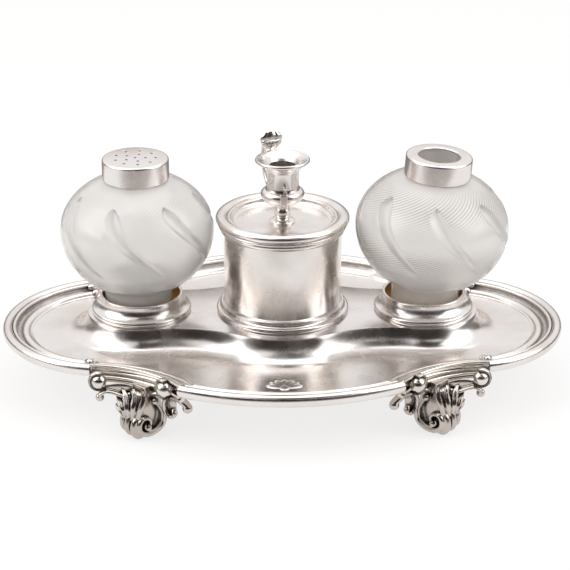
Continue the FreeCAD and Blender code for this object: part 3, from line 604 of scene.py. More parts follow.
@dataclass(frozen=True)
class CornerArc:
    """Joints with the lobes and bowed arc of a corner, seen as the right front one."""

    sweep: float
    side_sweep: float
    end: Vector
    side: Vector
    end_hub: Vector
    side_hub: Vector
    bow: float

    @property
    def middle(self) -> Vector:
        """Middle between the joints."""
        return (self.end + self.side) / 2

    @property
    def half(self) -> float:
        """Half the distance between the joints."""
        return (self.end - self.side).length / 2

    @property
    def radius(self) -> float:
        """Radius of the bowed arc."""
        return (self.half ** 2 + self.bow ** 2) / (2 * self.bow)

    @property
    def centre(self) -> Vector:
        """Centre of the bowed arc, outside the tray."""
        along = (self.end - self.side).normalized()
        return self.middle + Vector((along.y, -along.x, 0.0)) * (self.radius - self.bow)

    def mitre(self, point: Vector, hub: Vector) -> Vector:
        """Inward direction that halves the joint between a lobe and the corner."""
        return ((hub - point).normalized() + (point - self.centre).normalized()).normalized()

    @property
    def end_way(self) -> Vector:
        """Mitre at the end lobe."""
        return self.mitre(self.end, self.end_hub)

    @property
    def side_way(self) -> Vector:
        """Mitre at the long side."""
        return self.mitre(self.side, self.side_hub)


@dataclass
class Tray:
    """Raised sheet with its island, moulded border and scroll corners."""

    length: float = 302.0
    depth: float = 196.0
    end_radius: float = 60.5
    end_sweep: float = 74.5
    drawn_in_sweep: float = 80.5
    side_radius: float = 123.0
    side_half_chord: float = 61.49
    drawn_in_half_chord: float = 54.51
    corner_bow: float = 6.4
    overrun: float = 12.0
    foot_height: float = 27.3
    border_height: float = 6.3
    border_width: float = 16.0
    sheet: float = 1.2
    sheet_tuck: float = 1.5
    ring_x: float = 76.01
    island_rise: float = 11.2
    island_middle: float = 42.0
    island_end: float = 28.4
    island_waist: float = 66.0
    island_cove: float = 12.0
    knob: float = 5.0
    outer_knob: Pair = (-5.4, -7.4)
    inner_knob: Pair = (6.7, 8.4)
    knob_rise: float = 1.3
    bead_ball: float = 2.0
    round_share: float = 0.17
    curl_radius: float = 4.2
    curl_closing: float = 1.8
    curl_turn: float = 3.9
    curl_rise: float = 0.68
    ornament: float = 20.0
    ornament_gap: float = 3.0
    petals: int = 7
    petal_fan: float = 150.0
    relief: float = 0.48
    border_shares: Shares = (
        (0.11, 0.0), ((0.025, 0.26), (0.0, 0.571)), ((0.17, 1.0), (0.335, 0.71)), ((0.40, 0.86), (0.465, 0.69)),
        ((0.52, 0.25), (0.64, 0.25)), ((0.79, 0.53), (0.9375, 0.286)), (1.0, 0.23), (1.0, 0.0))
    corner_shares: Shares = (
        (0.40, 0.0), (0.34, -0.52), (0.17, -0.52), ((0.10, -0.41), (0.15, -0.29)), (0.23, -0.16), (0.08, -0.06),
        ((0.0, 0.06), (0.07, 0.18)), ((0.26, 0.48), (0.10, 0.82)), ((0.06, 0.97), (0.15, 1.0)),
        ((0.20, 0.98), (0.24, 0.86)), ((0.30, 0.92), (0.36, 0.78)), ((0.55, 0.45), (0.7625, 0.317)),
        ((0.85, 0.389), (0.9375, 0.286)), (1.0, 0.23), (1.0, 0.0))
    cove_shares: Shares = (
        (0.02, 0.985), (0.05, 0.93), (0.09, 0.82), (0.14, 0.69), (0.20, 0.57), (0.27, 0.455), (0.35, 0.345),
        (0.44, 0.25), (0.54, 0.168), (0.65, 0.10), (0.77, 0.045), (0.89, 0.012), (1.0, 0.0))

    @property
    def well_z(self) -> float:
        """Height of the well's floor."""
        return self.foot_height + self.sheet

    @property
    def island_z(self) -> float:
        """Height of the island's top."""
        return self.well_z + self.island_rise

    @property
    def end_centre(self) -> Vector:
        """Centre of the right end lobe."""
        return Vector((self.length / 2 - self.end_radius, 0.0, 0.0))

    @property
    def side_centre(self) -> Vector:
        """Centre of the front lobe."""
        return Vector((0.0, self.side_radius - self.depth / 2, 0.0))

    def arc_at(self, side: Side) -> CornerArc:
        """Corner arc of one side; the left front one is drawn in towards the middle.

        Args:
            side: which corner.
        Returns:
            Its arc as the right front one.
        """
        drawn_in = side is Side.FRONT_LEFT
        sweep_angle = self.drawn_in_sweep if drawn_in else self.end_sweep
        chord = self.drawn_in_half_chord if drawn_in else self.side_half_chord
        a = math.radians(-sweep_angle)
        end = self.end_centre + level(a) * self.end_radius
        drop = math.sqrt(self.side_radius ** 2 - chord ** 2)
        joint = self.side_centre + Vector((chord, -drop, 0.0))
        return CornerArc(math.radians(sweep_angle), math.asin(chord / self.side_radius), end, joint, self.end_centre,
                         self.side_centre, self.corner_bow)

    def section(self, shares: Shares, radius: float, inwards: int) -> list[Vector]:
        """Border section on an arc: inwards is -1 towards the arc's centre and 1 away from it."""
        return drawn(shares, lambda a, b: Vector((
            radius + inwards * a * self.border_width, 0.0, self.foot_height + b * self.border_height)), 12)

    def run(self, bm: BMesh, shares: Shares, centre: Vector, radius: float, inwards: int, heading: float,
            sweep_angle: float, cuts: Sequence[tuple[Vector, Vector]]) -> None:
        """Border moulding along an arc, cut at its mitres.

        Args:
            bm: mesh that gets it.
            shares: section table.
            centre: the arc's centre.
            radius: the outline's radius there.
            inwards: direction of the inside.
            heading: direction of the arc's middle.
            sweep_angle: angle to each side of it.
            cuts: points and outward normals of the planes that end it.
        """
        edges = wire(bm, self.section(shares, radius, inwards), True)
        verts = list({v for e in edges for v in e.verts})
        bmesh.ops.rotate(bm, verts=verts, cent=(0, 0, 0), matrix=Matrix.Rotation(heading - sweep_angle, 3, "Z"))
        steps = max(24, int(radius * 2 * sweep_angle / 1.2))
        bmesh.ops.spin(bm, geom=verts + edges, cent=(0, 0, 0), axis=UP, angle=2 * sweep_angle, steps=steps)
        bmesh.ops.translate(bm, verts=bm.verts, vec=centre)
        for point, normal in cuts:
            geom = bm.verts[:] + bm.edges[:] + bm.faces[:]
            bmesh.ops.bisect_plane(bm, geom=geom, dist=1e-5, plane_co=point, plane_no=normal, clear_outer=True)
        bmesh.ops.holes_fill(bm, edges=[e for e in bm.edges if e.is_boundary], sides=0)

    def end_lobe(self, sign: int, name: str) -> Piece:
        """Round end lobe with the balls that finish its beads.

        Args:
            sign: 1 for the right end, -1 for the left.
            name: the node it stands for.
        Returns:
            The piece.
        """
        piece = Piece(name + "_moulding", Body.TRAY, Slot.SILVER, (name,))
        arcs = {side_y: self.arc_at(Side((sign, side_y))) for side_y in (-1, 1)}
        cuts = []
        for side_y, corner in arcs.items():
            flip = Vector((1.0, -side_y, 1.0))
            cuts.append((corner.end * flip, Vector((-corner.end_way.y, corner.end_way.x, 0.0)) * flip))
        spread = max(corner.sweep for corner in arcs.values()) + self.overrun / self.end_radius
        self.run(piece.bm, self.border_shares, self.end_centre, self.end_radius, -1, 0.0, spread, cuts)
        for side_y, corner in arcs.items():
            self.curl(piece.bm, corner.sweep, side_y)
        for inset, rise in ((0.47, 0.78), (0.85, 0.40)):
            for side_y, corner in arcs.items():
                a = side_y * (corner.sweep - math.radians(1.5))
                spot = self.end_centre + level(a) * (self.end_radius - inset * self.border_width)
                ball(piece.bm, spot + UP * (self.foot_height + rise * self.border_height), self.bead_ball)
        bmesh.ops.scale(piece.bm, vec=(sign, 1, 1), verts=piece.bm.verts)
        return piece

    def curl(self, bm: BMesh, stop: float, side_y: int) -> None:
        """Inward curl that ends the end lobe's outer round.

        Args:
            bm: mesh that gets it.
            stop: angle of the lobe's end.
            side_y: 1 for the back, -1 for the front.
        """
        track = self.end_radius - self.round_share * self.border_width

        def spot(angle: float, reach: float) -> Vector:
            """Point of the lobe's plan."""
            return self.end_centre + Vector((math.cos(angle), side_y * math.sin(angle), 0.0)) * reach
        turned_in = stop - math.radians(2.0)
        hub = spot(turned_in, track - self.curl_radius)
        out = (spot(turned_in, track) - hub).normalized()
        line = [spot(turned_in - math.radians(8.0 - i), track) for i in range(8)]
        for i in range(30):
            t = i / 29
            spin = Matrix.Rotation(side_y * self.curl_turn * t, 3, "Z")
            line.append(hub + spin @ out * (self.curl_radius - self.curl_closing * t))
        lift = UP * (self.foot_height + self.curl_rise * self.border_height)
        sweep(bm, [p + lift for p in line], lambda t: (1.9, eased((0.6, 1.9, 1.8, 1.5), t)), UP, 16)

    def side_lobe(self, sign: int, name: str) -> Piece:
        """Long shallow lobe.

        Args:
            sign: -1 for the front, 1 for the back.
            name: the node it stands for.
        Returns:
            The piece.
        """
        piece = Piece(name + "_moulding", Body.TRAY, Slot.SILVER, (name,))
        arcs = {side_x: self.arc_at(Side((side_x, sign))) for side_x in (-1, 1)}
        cuts = []
        for side_x, corner in arcs.items():
            flip = Vector((side_x, 1.0, 1.0))
            cuts.append((corner.side * flip, Vector((corner.side_way.y, -corner.side_way.x, 0.0)) * flip))
        spread = max(corner.side_sweep for corner in arcs.values()) + self.overrun / self.side_radius
        self.run(piece.bm, self.border_shares, self.side_centre, self.side_radius, -1, -math.pi / 2, spread, cuts)
        bmesh.ops.scale(piece.bm, vec=(1, -sign, 1), verts=piece.bm.verts)
        return piece

    def corner(self, place: CornerArc) -> BMesh:
        """Hollowed scroll between its two volute knobs, as the right front corner.

        Args:
            place: the corner's arc.
        Returns:
            The mesh.
        """
        bm = bmesh.new()
        middle = place.middle - place.centre
        cuts = [(place.side, Vector((-place.side_way.y, place.side_way.x, 0.0))),
                (place.end, Vector((place.end_way.y, -place.end_way.x, 0.0)))]
        self.run(bm, self.corner_shares, place.centre, place.radius, 1, math.atan2(middle.y, middle.x),
                 math.asin(place.half / place.radius) + self.overrun / place.radius, cuts)
        knob_z = UP * (self.foot_height + self.knob_rise)
        outer = place.end + Vector((*self.outer_knob, 0.0)) + knob_z
        inner = place.side + Vector((*self.inner_knob, 0.0)) + knob_z
        for spot, size in ((outer, 0.8), (inner, 0.88)):
            ball(bm, spot, self.knob * size, 32)
            out = Vector((place.centre.x - spot.x, place.centre.y - spot.y, 0.0)).normalized()
            along = UP.cross(out)
            path = []
            for i in range(44):
                t = i / 43
                a = math.radians(112 - 250 * t)
                reach = self.knob * size + 0.9 - 0.35 * t
                path.append(spot + along * (math.cos(a) * reach) + UP * (math.sin(a) * reach) + out * (0.6 - 0.4 * t))
            sweep(bm, path, lambda t: (1.9 - 0.5 * t, 1.0 - 0.35 * t), out)
        return bm

    def corners(self, finishes: Finishes) -> None:
        """Build the four corners."""
        plain, drawn_in = (self.corner(self.arc_at(side)) for side in (Side.FRONT_RIGHT, Side.FRONT_LEFT))
        for base in (plain, drawn_in):
            # Painted shade, with dark tarnish, in the corners' hollows.
            paint_recess_shade_and_tarnish(base, 1.8)
        for side in Side:
            base = drawn_in if side is Side.FRONT_LEFT else plain
            piece = Piece(f"corner_{side.name.lower()}_scroll", Body.TRAY, Slot.CAST, (f"corner_{side.name.lower()}",),
                          base.copy())
            piece.move(side.matrix())
            piece.finish(finishes.cast)

    def island_outline(self, steps: int) -> list[tuple[Vector, Vector]]:
        """Plan of the island's top, with the outward direction at each point.

        Args:
            steps: spans of each of its eight arcs.
        Returns:
            Points and directions, anticlockwise.
        """
        far_middle = self.island_middle + self.island_waist
        far_end = self.island_end + self.island_waist
        x = (far_middle ** 2 - far_end ** 2 + self.ring_x ** 2) / (2 * self.ring_x)
        hub = Vector((x, math.sqrt(far_middle ** 2 - x ** 2), 0.0))
        ring = Vector((self.ring_x, 0.0, 0.0))
        to_end = math.atan2(hub.y, hub.x - ring.x)
        to_middle = math.atan2(hub.y, hub.x)
        arcs = []
        for turn in (0.0, math.pi):
            spin = Matrix.Rotation(turn, 3, "Z")
            low_hub = Vector((-hub.x, hub.y, 0.0))
            arcs += [
                (spin @ ring, self.island_end, turn - to_end, turn + to_end, 1),
                (spin @ hub, self.island_waist, turn + to_end + math.pi, turn + to_middle + math.pi, -1),
                (Vector(), self.island_middle, turn + to_middle, turn + math.pi - to_middle, 1),
                (spin @ low_hub, self.island_waist, turn - to_middle, turn - to_end, -1),
            ]
        plan = []
        for centre, radius, start, stop, sign in arcs:
            for i in range(steps):
                a = start + (stop - start) * i / steps
                way = level(a)
                plan.append((centre + way * radius, way * sign))
        return plan

    def quarter(self, side: Side, steps: int) -> list[Vector]:
        """Sheet's edge under the border, from the middle of a long side round a corner to the middle of an end.

        Args:
            side: which corner.
            steps: spans of each arc.
        Returns:
            The points.
        """
        inset = self.border_width - self.sheet_tuck
        corner = self.arc_at(side)

        def bearing(point: Vector, hub: Vector) -> float:
            """Direction of a point seen from a hub."""
            return math.atan2(point.y - hub.y, point.x - hub.x)
        end = corner.end + corner.end_way * inset
        joint = corner.side + corner.side_way * inset
        spread = [(self.side_centre, self.side_radius - inset, -math.pi / 2, bearing(joint, self.side_centre)),
                  (corner.centre, corner.radius + inset, bearing(joint, corner.centre), bearing(end, corner.centre)),
                  (self.end_centre, self.end_radius - inset, bearing(end, self.end_centre), 0.0)]
        points = []
        for hub, reach, start, stop in spread:
            for i in range(steps):
                a = start + (stop - start) * i / steps
                points.append(hub + level(a) * reach)
        points.append(Vector((self.length / 2 - inset, 0.0, 0.0)))
        return [p * side.signs() for p in points]

    def well_outline(self, steps: int) -> list[Vector]:
        """Plan of the sheet's edge, anticlockwise from the middle of the front.

        Args:
            steps: spans of each arc.
        Returns:
            The points.
        """
        outline = []
        for side in (Side.FRONT_RIGHT, Side.BACK_RIGHT, Side.BACK_LEFT, Side.FRONT_LEFT):
            run = self.quarter(side, steps)
            onward = side in (Side.FRONT_RIGHT, Side.BACK_LEFT)
            outline += (run if onward else run[::-1])[:-1]
        return outline

    def sheet_piece(self) -> Piece:
        """Sheet with its well and island, in one."""
        piece = Piece("tray_sheet", Body.TRAY, Slot.SILVER, ("tray_body",), crease=50.0)
        bm = piece.bm
        plan = self.island_outline(40)
        layer = bm.verts.layers.int.new("spot")
        edges = wire(bm, [p + UP * self.island_z for p, _ in plan], True)
        bm.verts.ensure_lookup_table()
        for index, vert in enumerate(bm.verts):
            vert[layer] = index
        top = bmesh.ops.contextual_create(bm, geom=edges)["faces"]
        bmesh.ops.inset_region(bm, faces=top, thickness=1.0, use_boundary=True, use_even_offset=True)
        for out, up in self.cove_shares:
            made = bmesh.ops.extrude_edge_only(bm, edges=edges)["geom"]
            edges = [g for g in made if isinstance(g, BMEdge)]
            for vert in (g for g in made if isinstance(g, BMVert)):
                point, way = plan[vert[layer]]
                vert.co = point + way * (out * self.island_cove) + UP * (self.well_z + up * self.island_rise)
        rim = wire(bm, [p + UP * self.well_z for p in self.well_outline(40)], True)
        bmesh.ops.triangle_fill(bm, use_beauty=True, use_dissolve=False, edges=edges + rim, normal=UP)
        bmesh.ops.recalc_face_normals(bm, faces=bm.faces)
        if sum(f.normal.z * f.calc_area() for f in bm.faces) < 0:
            bmesh.ops.reverse_faces(bm, faces=bm.faces)
        bmesh.ops.solidify(bm, geom=bm.faces[:], thickness=self.sheet * 0.8)
        return piece

    def ornament_piece(self) -> Piece:
        """Low-relief palmette: pointed petals fanned on a boss."""
        piece = Piece("well_palmette", Body.TRAY, Slot.SILVER, ("front_ornament",))
        bm = piece.bm
        boss_radius = self.ornament * 0.15
        root = Vector((0.0, boss_radius + self.ornament_gap + self.border_width - self.depth / 2, self.well_z))
        lift = Matrix.Translation((0.0, self.ornament * 0.28, 0.0))
        size = Matrix.Diagonal((self.ornament * 0.115, self.ornament * 0.22, self.relief, 1.0))
        for index in range(self.petals):
            angle = math.radians(self.petal_fan) * (index / (self.petals - 1) - 0.5)
            verts = bmesh.ops.create_uvsphere(bm, u_segments=20, v_segments=12, radius=1.0)["verts"]
            bmesh.ops.transform(bm, matrix=Matrix.Rotation(angle, 4, "Z") @ lift @ size, verts=verts)
        size = Matrix.Diagonal((boss_radius, boss_radius, self.relief, 1.0))
        bmesh.ops.create_uvsphere(bm, u_segments=24, v_segments=12, radius=1.0, matrix=size)
        bmesh.ops.translate(bm, verts=bm.verts, vec=root)
        return piece

    def build(self, finishes: Finishes) -> None:
        """Build and dress the tray."""
        self.sheet_piece().finish(finishes.silver, tidy=False)
        for piece in (self.end_lobe(1, "border_right"), self.end_lobe(-1, "border_left"),
                      self.side_lobe(-1, "border_front"), self.side_lobe(1, "border_back")):
            bmesh.ops.recalc_face_normals(piece.bm, faces=piece.bm.faces)
            # Painted shade, with dark tarnish, in the border's grooves.
            paint_recess_shade_and_tarnish(piece.bm, 5.0, 16)
            piece.finish(finishes.tarnish_and_shade)
        self.corners(finishes)
        self.ornament_piece().finish(finishes.satin)


@dataclass
class ScrollFoot:
    """Cast foot: scroll bracket with a volute on each cheek, a leaf over rolled toes and curls at its sides."""

    inset: float = 7.1
    heading: float = 45.0
    height: float = 27.3
    width: float = 15.7
    depth: float = 24.0
    back_share: float = 0.5
    cheek_recess: float = 2.6
    inner_heading: float = 26.0
    outer_heading: float = -2.0
    voxel: float = 0.3
    bracket_shares: Shares = (
        (0.22, 1.0), ((0.20, 0.70), (0.10, 0.42)), ((0.09, 0.12), (0.42, 0.02)), (0.70, 0.02),
        ((0.86, 0.21), (0.74, 0.42)), ((0.78, 0.64), (0.64, 0.86)), (0.64, 1.0))
    volute_shares: Sequence[Pair] = (
        (0.42, 0.70), (0.27, 0.57), (0.16, 0.38), (0.20, 0.17), (0.40, 0.075), (0.66, 0.075), (0.85, 0.18),
        (0.87, 0.33), (0.77, 0.42), (0.63, 0.39), (0.57, 0.29), (0.64, 0.22))
    bead_shares: Sequence[Pair] = (
        (0.43, 0.66), (0.35, 0.56), (0.27, 0.40), (0.31, 0.24), (0.46, 0.155), (0.64, 0.16), (0.75, 0.24), (0.74, 0.32))
    arm_shares: Sequence[Pair] = (
        (-0.20, 0.82), (-0.70, 0.893), (-1.02, 0.88), (-1.27, 0.855), (-1.46, 0.80), (-1.60, 0.735), (-1.63, 0.68))
    hook_shares: Sequence[Pair] = (
        (-0.99, 0.89), (-0.82, 0.76), (-0.80, 0.62), (-0.89, 0.49), (-1.04, 0.44), (-1.17, 0.50), (-1.13, 0.57))
    outer_shares: Sequence[Pair] = (
        (0.0, 0.62), (0.32, 0.68), (0.70, 0.77), (0.99, 0.84), (1.21, 0.86), (1.40, 0.805), (1.42, 0.74))
    petals: Sequence[Sequence[tuple[float, float, float]]] = (
        ((-4.6, 8.4, 10.5), (-6.0, 8.0, 17.0), (-6.4, 6.0, 22.0), (-5.2, 4.6, 26.4)),
        ((-2.0, 9.2, 10.5), (-2.6, 9.6, 17.0), (-1.8, 7.6, 22.0), (0.6, 5.6, 26.2)),
        ((0.5, 9.4, 10.5), (1.4, 10.2, 16.5), (4.0, 8.6, 21.0), (8.0, 6.4, 24.4)),
        ((2.8, 9.2, 10.5), (4.6, 10.2, 15.0), (7.6, 9.4, 18.0), (11.4, 7.6, 20.4)),
        ((4.6, 8.6, 10.0), (7.0, 9.2, 12.6), (9.6, 8.8, 14.4), (11.2, 8.4, 15.6)))
    toes: Sequence[tuple[float, float, float]] = ((-4.2, 1.0, 0.0), (0.8, 0.97, 0.3), (5.4, 0.86, 1.2))
    toe_line: Sequence[Pair] = ((7.6, 12.4), (9.9, 10.9), (11.0, 7.4), (10.5, 4.0), (8.4, 1.8), (5.0, 1.5))

    def spot(self, across: float, outwards: float, up: float) -> Vector:
        """Point of the foot's own frame."""
        return Vector((across, -outwards, up))

    def cheek(self, across: float) -> Place:
        """Place function of the side outline at a distance across the foot."""
        return lambda a, b: self.spot(across, (a - self.back_share) * self.depth, b * self.height)

    def wing(self, shares: Sequence[Pair], heading: float) -> list[Vector]:
        """Line in the upright plane of a heading, in shares of the foot's width and height."""
        turn = Matrix.Rotation(math.radians(heading - self.heading), 3, "Z")
        return flowing([turn @ Vector((a * self.width, 0.0, 0.0)) + UP * (b * self.height) for a, b in shares], 8)

    def bracket(self, bm: BMesh) -> None:
        """Side outline drawn across the foot and narrowed towards its top."""
        half = self.width / 2 - self.cheek_recess
        flat = drawn(self.bracket_shares, lambda a, b: Vector((a, 0.0, b)), 8)
        place = self.cheek(-half)
        edges = wire(bm, [place(p.x, p.z) for p in flat], True)
        face = bmesh.ops.contextual_create(bm, geom=edges)["faces"]
        made = bmesh.ops.extrude_face_region(bm, geom=face)["geom"]
        bmesh.ops.translate(bm, verts=[g for g in made if isinstance(g, BMVert)], vec=(2 * half, 0, 0))
        for vert in bm.verts:
            vert.co.x *= 1.0 - 0.12 * max(0.0, vert.co.z / self.height - 0.4)

    def volute(self, bm: BMesh, side: int) -> None:
        """Spiral band on one cheek with its bead and eye."""
        place = self.cheek(side * (self.width / 2 - 1.5))
        line = flowing([place(a, b) for a, b in self.volute_shares], 8)
        cross = Vector((1, 0, 0))
        sweep(bm, line, lambda t: (1.6, eased((0.9, 1.4, 1.8, 1.8, 1.6, 1.4, 1.3, 1.1, 0.9), t)), cross, 18)
        bead = flowing([place(a, b) + cross * (side * 1.3) for a, b in self.bead_shares], 8)
        sweep(bm, bead, lambda t: (0.75, 0.6 - 0.15 * t), cross, 12)
        ball(bm, place(0.43, 0.70) + cross * (side * 0.6), 2.0, 18)
        ball(bm, line[-1] + cross * (side * 0.9), 1.7, 18)

    def wings(self, bm: BMesh) -> None:
        """Hooked arm under the long side, curl under the end lobe's knob, and the webs behind them."""
        arms = ((self.arm_shares, self.inner_heading, 2.5, (1.4, 1.6, 1.8, 2.0, 2.1), 2.7, 20),
                (self.hook_shares, self.inner_heading, 2.2, (1.3, 1.3, 1.35, 1.2, 0.9), 1.6, 16),
                (self.outer_shares, self.outer_heading, 2.2, (1.6, 1.5, 1.1, 1.0, 1.2, 1.4), 2.3, 20))
        for shares, heading, wide, thick, tip, detail in arms:
            line = self.wing(shares, heading)
            facing = Matrix.Rotation(math.radians(heading - self.heading), 3, "Z") @ Vector((0, 1, 0))
            sweep(bm, line, lambda t: (wide, eased(thick, t)), facing, 16)
            ball(bm, line[-1], tip, detail)
        webs = ((self.inner_heading, -15.8, 18.2, 3.0, 4.6), (self.inner_heading, -14.0, 24.6, 9.0, 2.6),
                (self.outer_heading, 13.5, 24.0, 9.0, 3.2))
        for heading, along, up, long, tall in webs:
            turn = Matrix.Rotation(math.radians(heading - self.heading), 4, "Z")
            place = turn @ Matrix.Translation((along, 1.2, up)) @ Matrix.Diagonal((long, 0.9, tall, 1.0))
            bmesh.ops.create_uvsphere(bm, u_segments=24, v_segments=14, radius=1.0, matrix=place)

    def leaf(self, bm: BMesh) -> None:
        """Pointed petals fanned over the front, each with a raised rib, and the rolled toes below."""
        for petal in self.petals:
            line = flowing([self.spot(*p) for p in petal], 8)
            sweep(bm, line, lambda t: (eased((1.2, 1.6, 1.8, 1.5, 0.35), t), eased((1.4, 1.3, 1.1, 0.9, 0.3), t)),
                  self.spot(1, 0.25, 0.2), 14)
            rib = [p + self.spot(0.0, 1.05, 0.1) for p in line]
            sweep(bm, rib, lambda t: (0.6 - 0.3 * t, 0.7 - 0.3 * t), self.spot(1, 0.25, 0.2), 8)
        for across, size, lift in self.toes:
            line = flowing([self.spot(across, o * size, z * size + lift) for o, z in self.toe_line], 8)
            sweep(bm, line, lambda t: (eased((1.2, 1.9, 2.1, 2.1, 1.9), t) * size, eased((0.9, 1.5, 1.7, 1.6, 1.4), t)),
                  Vector((1, 0, 0)), 18)

    def mesh(self) -> BMesh:
        """Foot in one skin, turned to the right front corner, with its recesses noted.

        Returns:
            The mesh.
        """
        bm = bmesh.new()
        self.bracket(bm)
        self.leaf(bm)
        self.wings(bm)
        for side in (-1, 1):
            self.volute(bm, side)
        bmesh.ops.recalc_face_normals(bm, faces=bm.faces)
        whole = cast_in_one(bm, self.voxel, 1)
        for vert in whole.verts:
            vert.co.z = min(max(vert.co.z, 0.0), self.height)
        # Painted shade, with dark tarnish, in the foot's hollows.
        paint_recess_shade_and_tarnish(whole, 5.0, 14)
        turn = Matrix.Rotation(math.radians(self.heading), 4, "Z")
        bmesh.ops.transform(whole, matrix=turn, verts=whole.verts)
        return whole

    def build(self, finishes: Finishes, tray: Tray) -> None:
        """Build and dress the four feet from one mesh, each under its corner of the tray."""
        base = self.mesh()
        a = math.radians(self.heading)
        inwards = Vector((-math.sin(a), math.cos(a), 0.0)) * self.inset
        for side in Side:
            piece = Piece(f"foot_{side.name.lower()}_casting", Body.TRAY, Slot.CAST, (f"foot_{side.name.lower()}",),
                          base.copy(), crease=80.0)
            place = side.matrix() @ Matrix.Translation(tray.arc_at(side).middle + inwards)
            piece.move(place)
            piece.finish(finishes.deep_tarnish_and_shade)
        base.free()


@dataclass
class PotRing:
    """Turned ring socket for a pot, gilt-washed inside."""

    low: float = 39.7
    inner: float = 20.6
    outer: float = 26.7
    height: float = 10.4
    shares: Shares = (
        (0.0, 0.0), (0.92, 0.0), ((1.0, 0.12), (0.92, 0.26)), (0.84, 0.28), ((0.50, 0.46), (0.28, 0.90)),
        ((0.13, 1.0), (0.0, 0.92)))

    def build(self, finishes: Finishes, x: float, name: str) -> None:
        """Build and dress one ring.

        Args:
            finishes: the materials.
            x: place of its axis.
            name: the node it stands for.
        """
        piece = Piece(name + "_turned", Body.TRAY, Slot.SILVER, (name,))
        lathe(piece.bm, drawn(self.shares, ring_place(self.inner, self.outer, self.low, self.height)), 160, True)
        piece.bm.normal_update()
        for face in piece.bm.faces:
            middle = face.calc_center_median()
            face.material_index = int(math.hypot(middle.x, middle.y) < self.inner + 0.05)
        bmesh.ops.translate(piece.bm, verts=piece.bm.verts, vec=(x, 0, 0))
        piece.finish(finishes.silver, finishes.gilt)


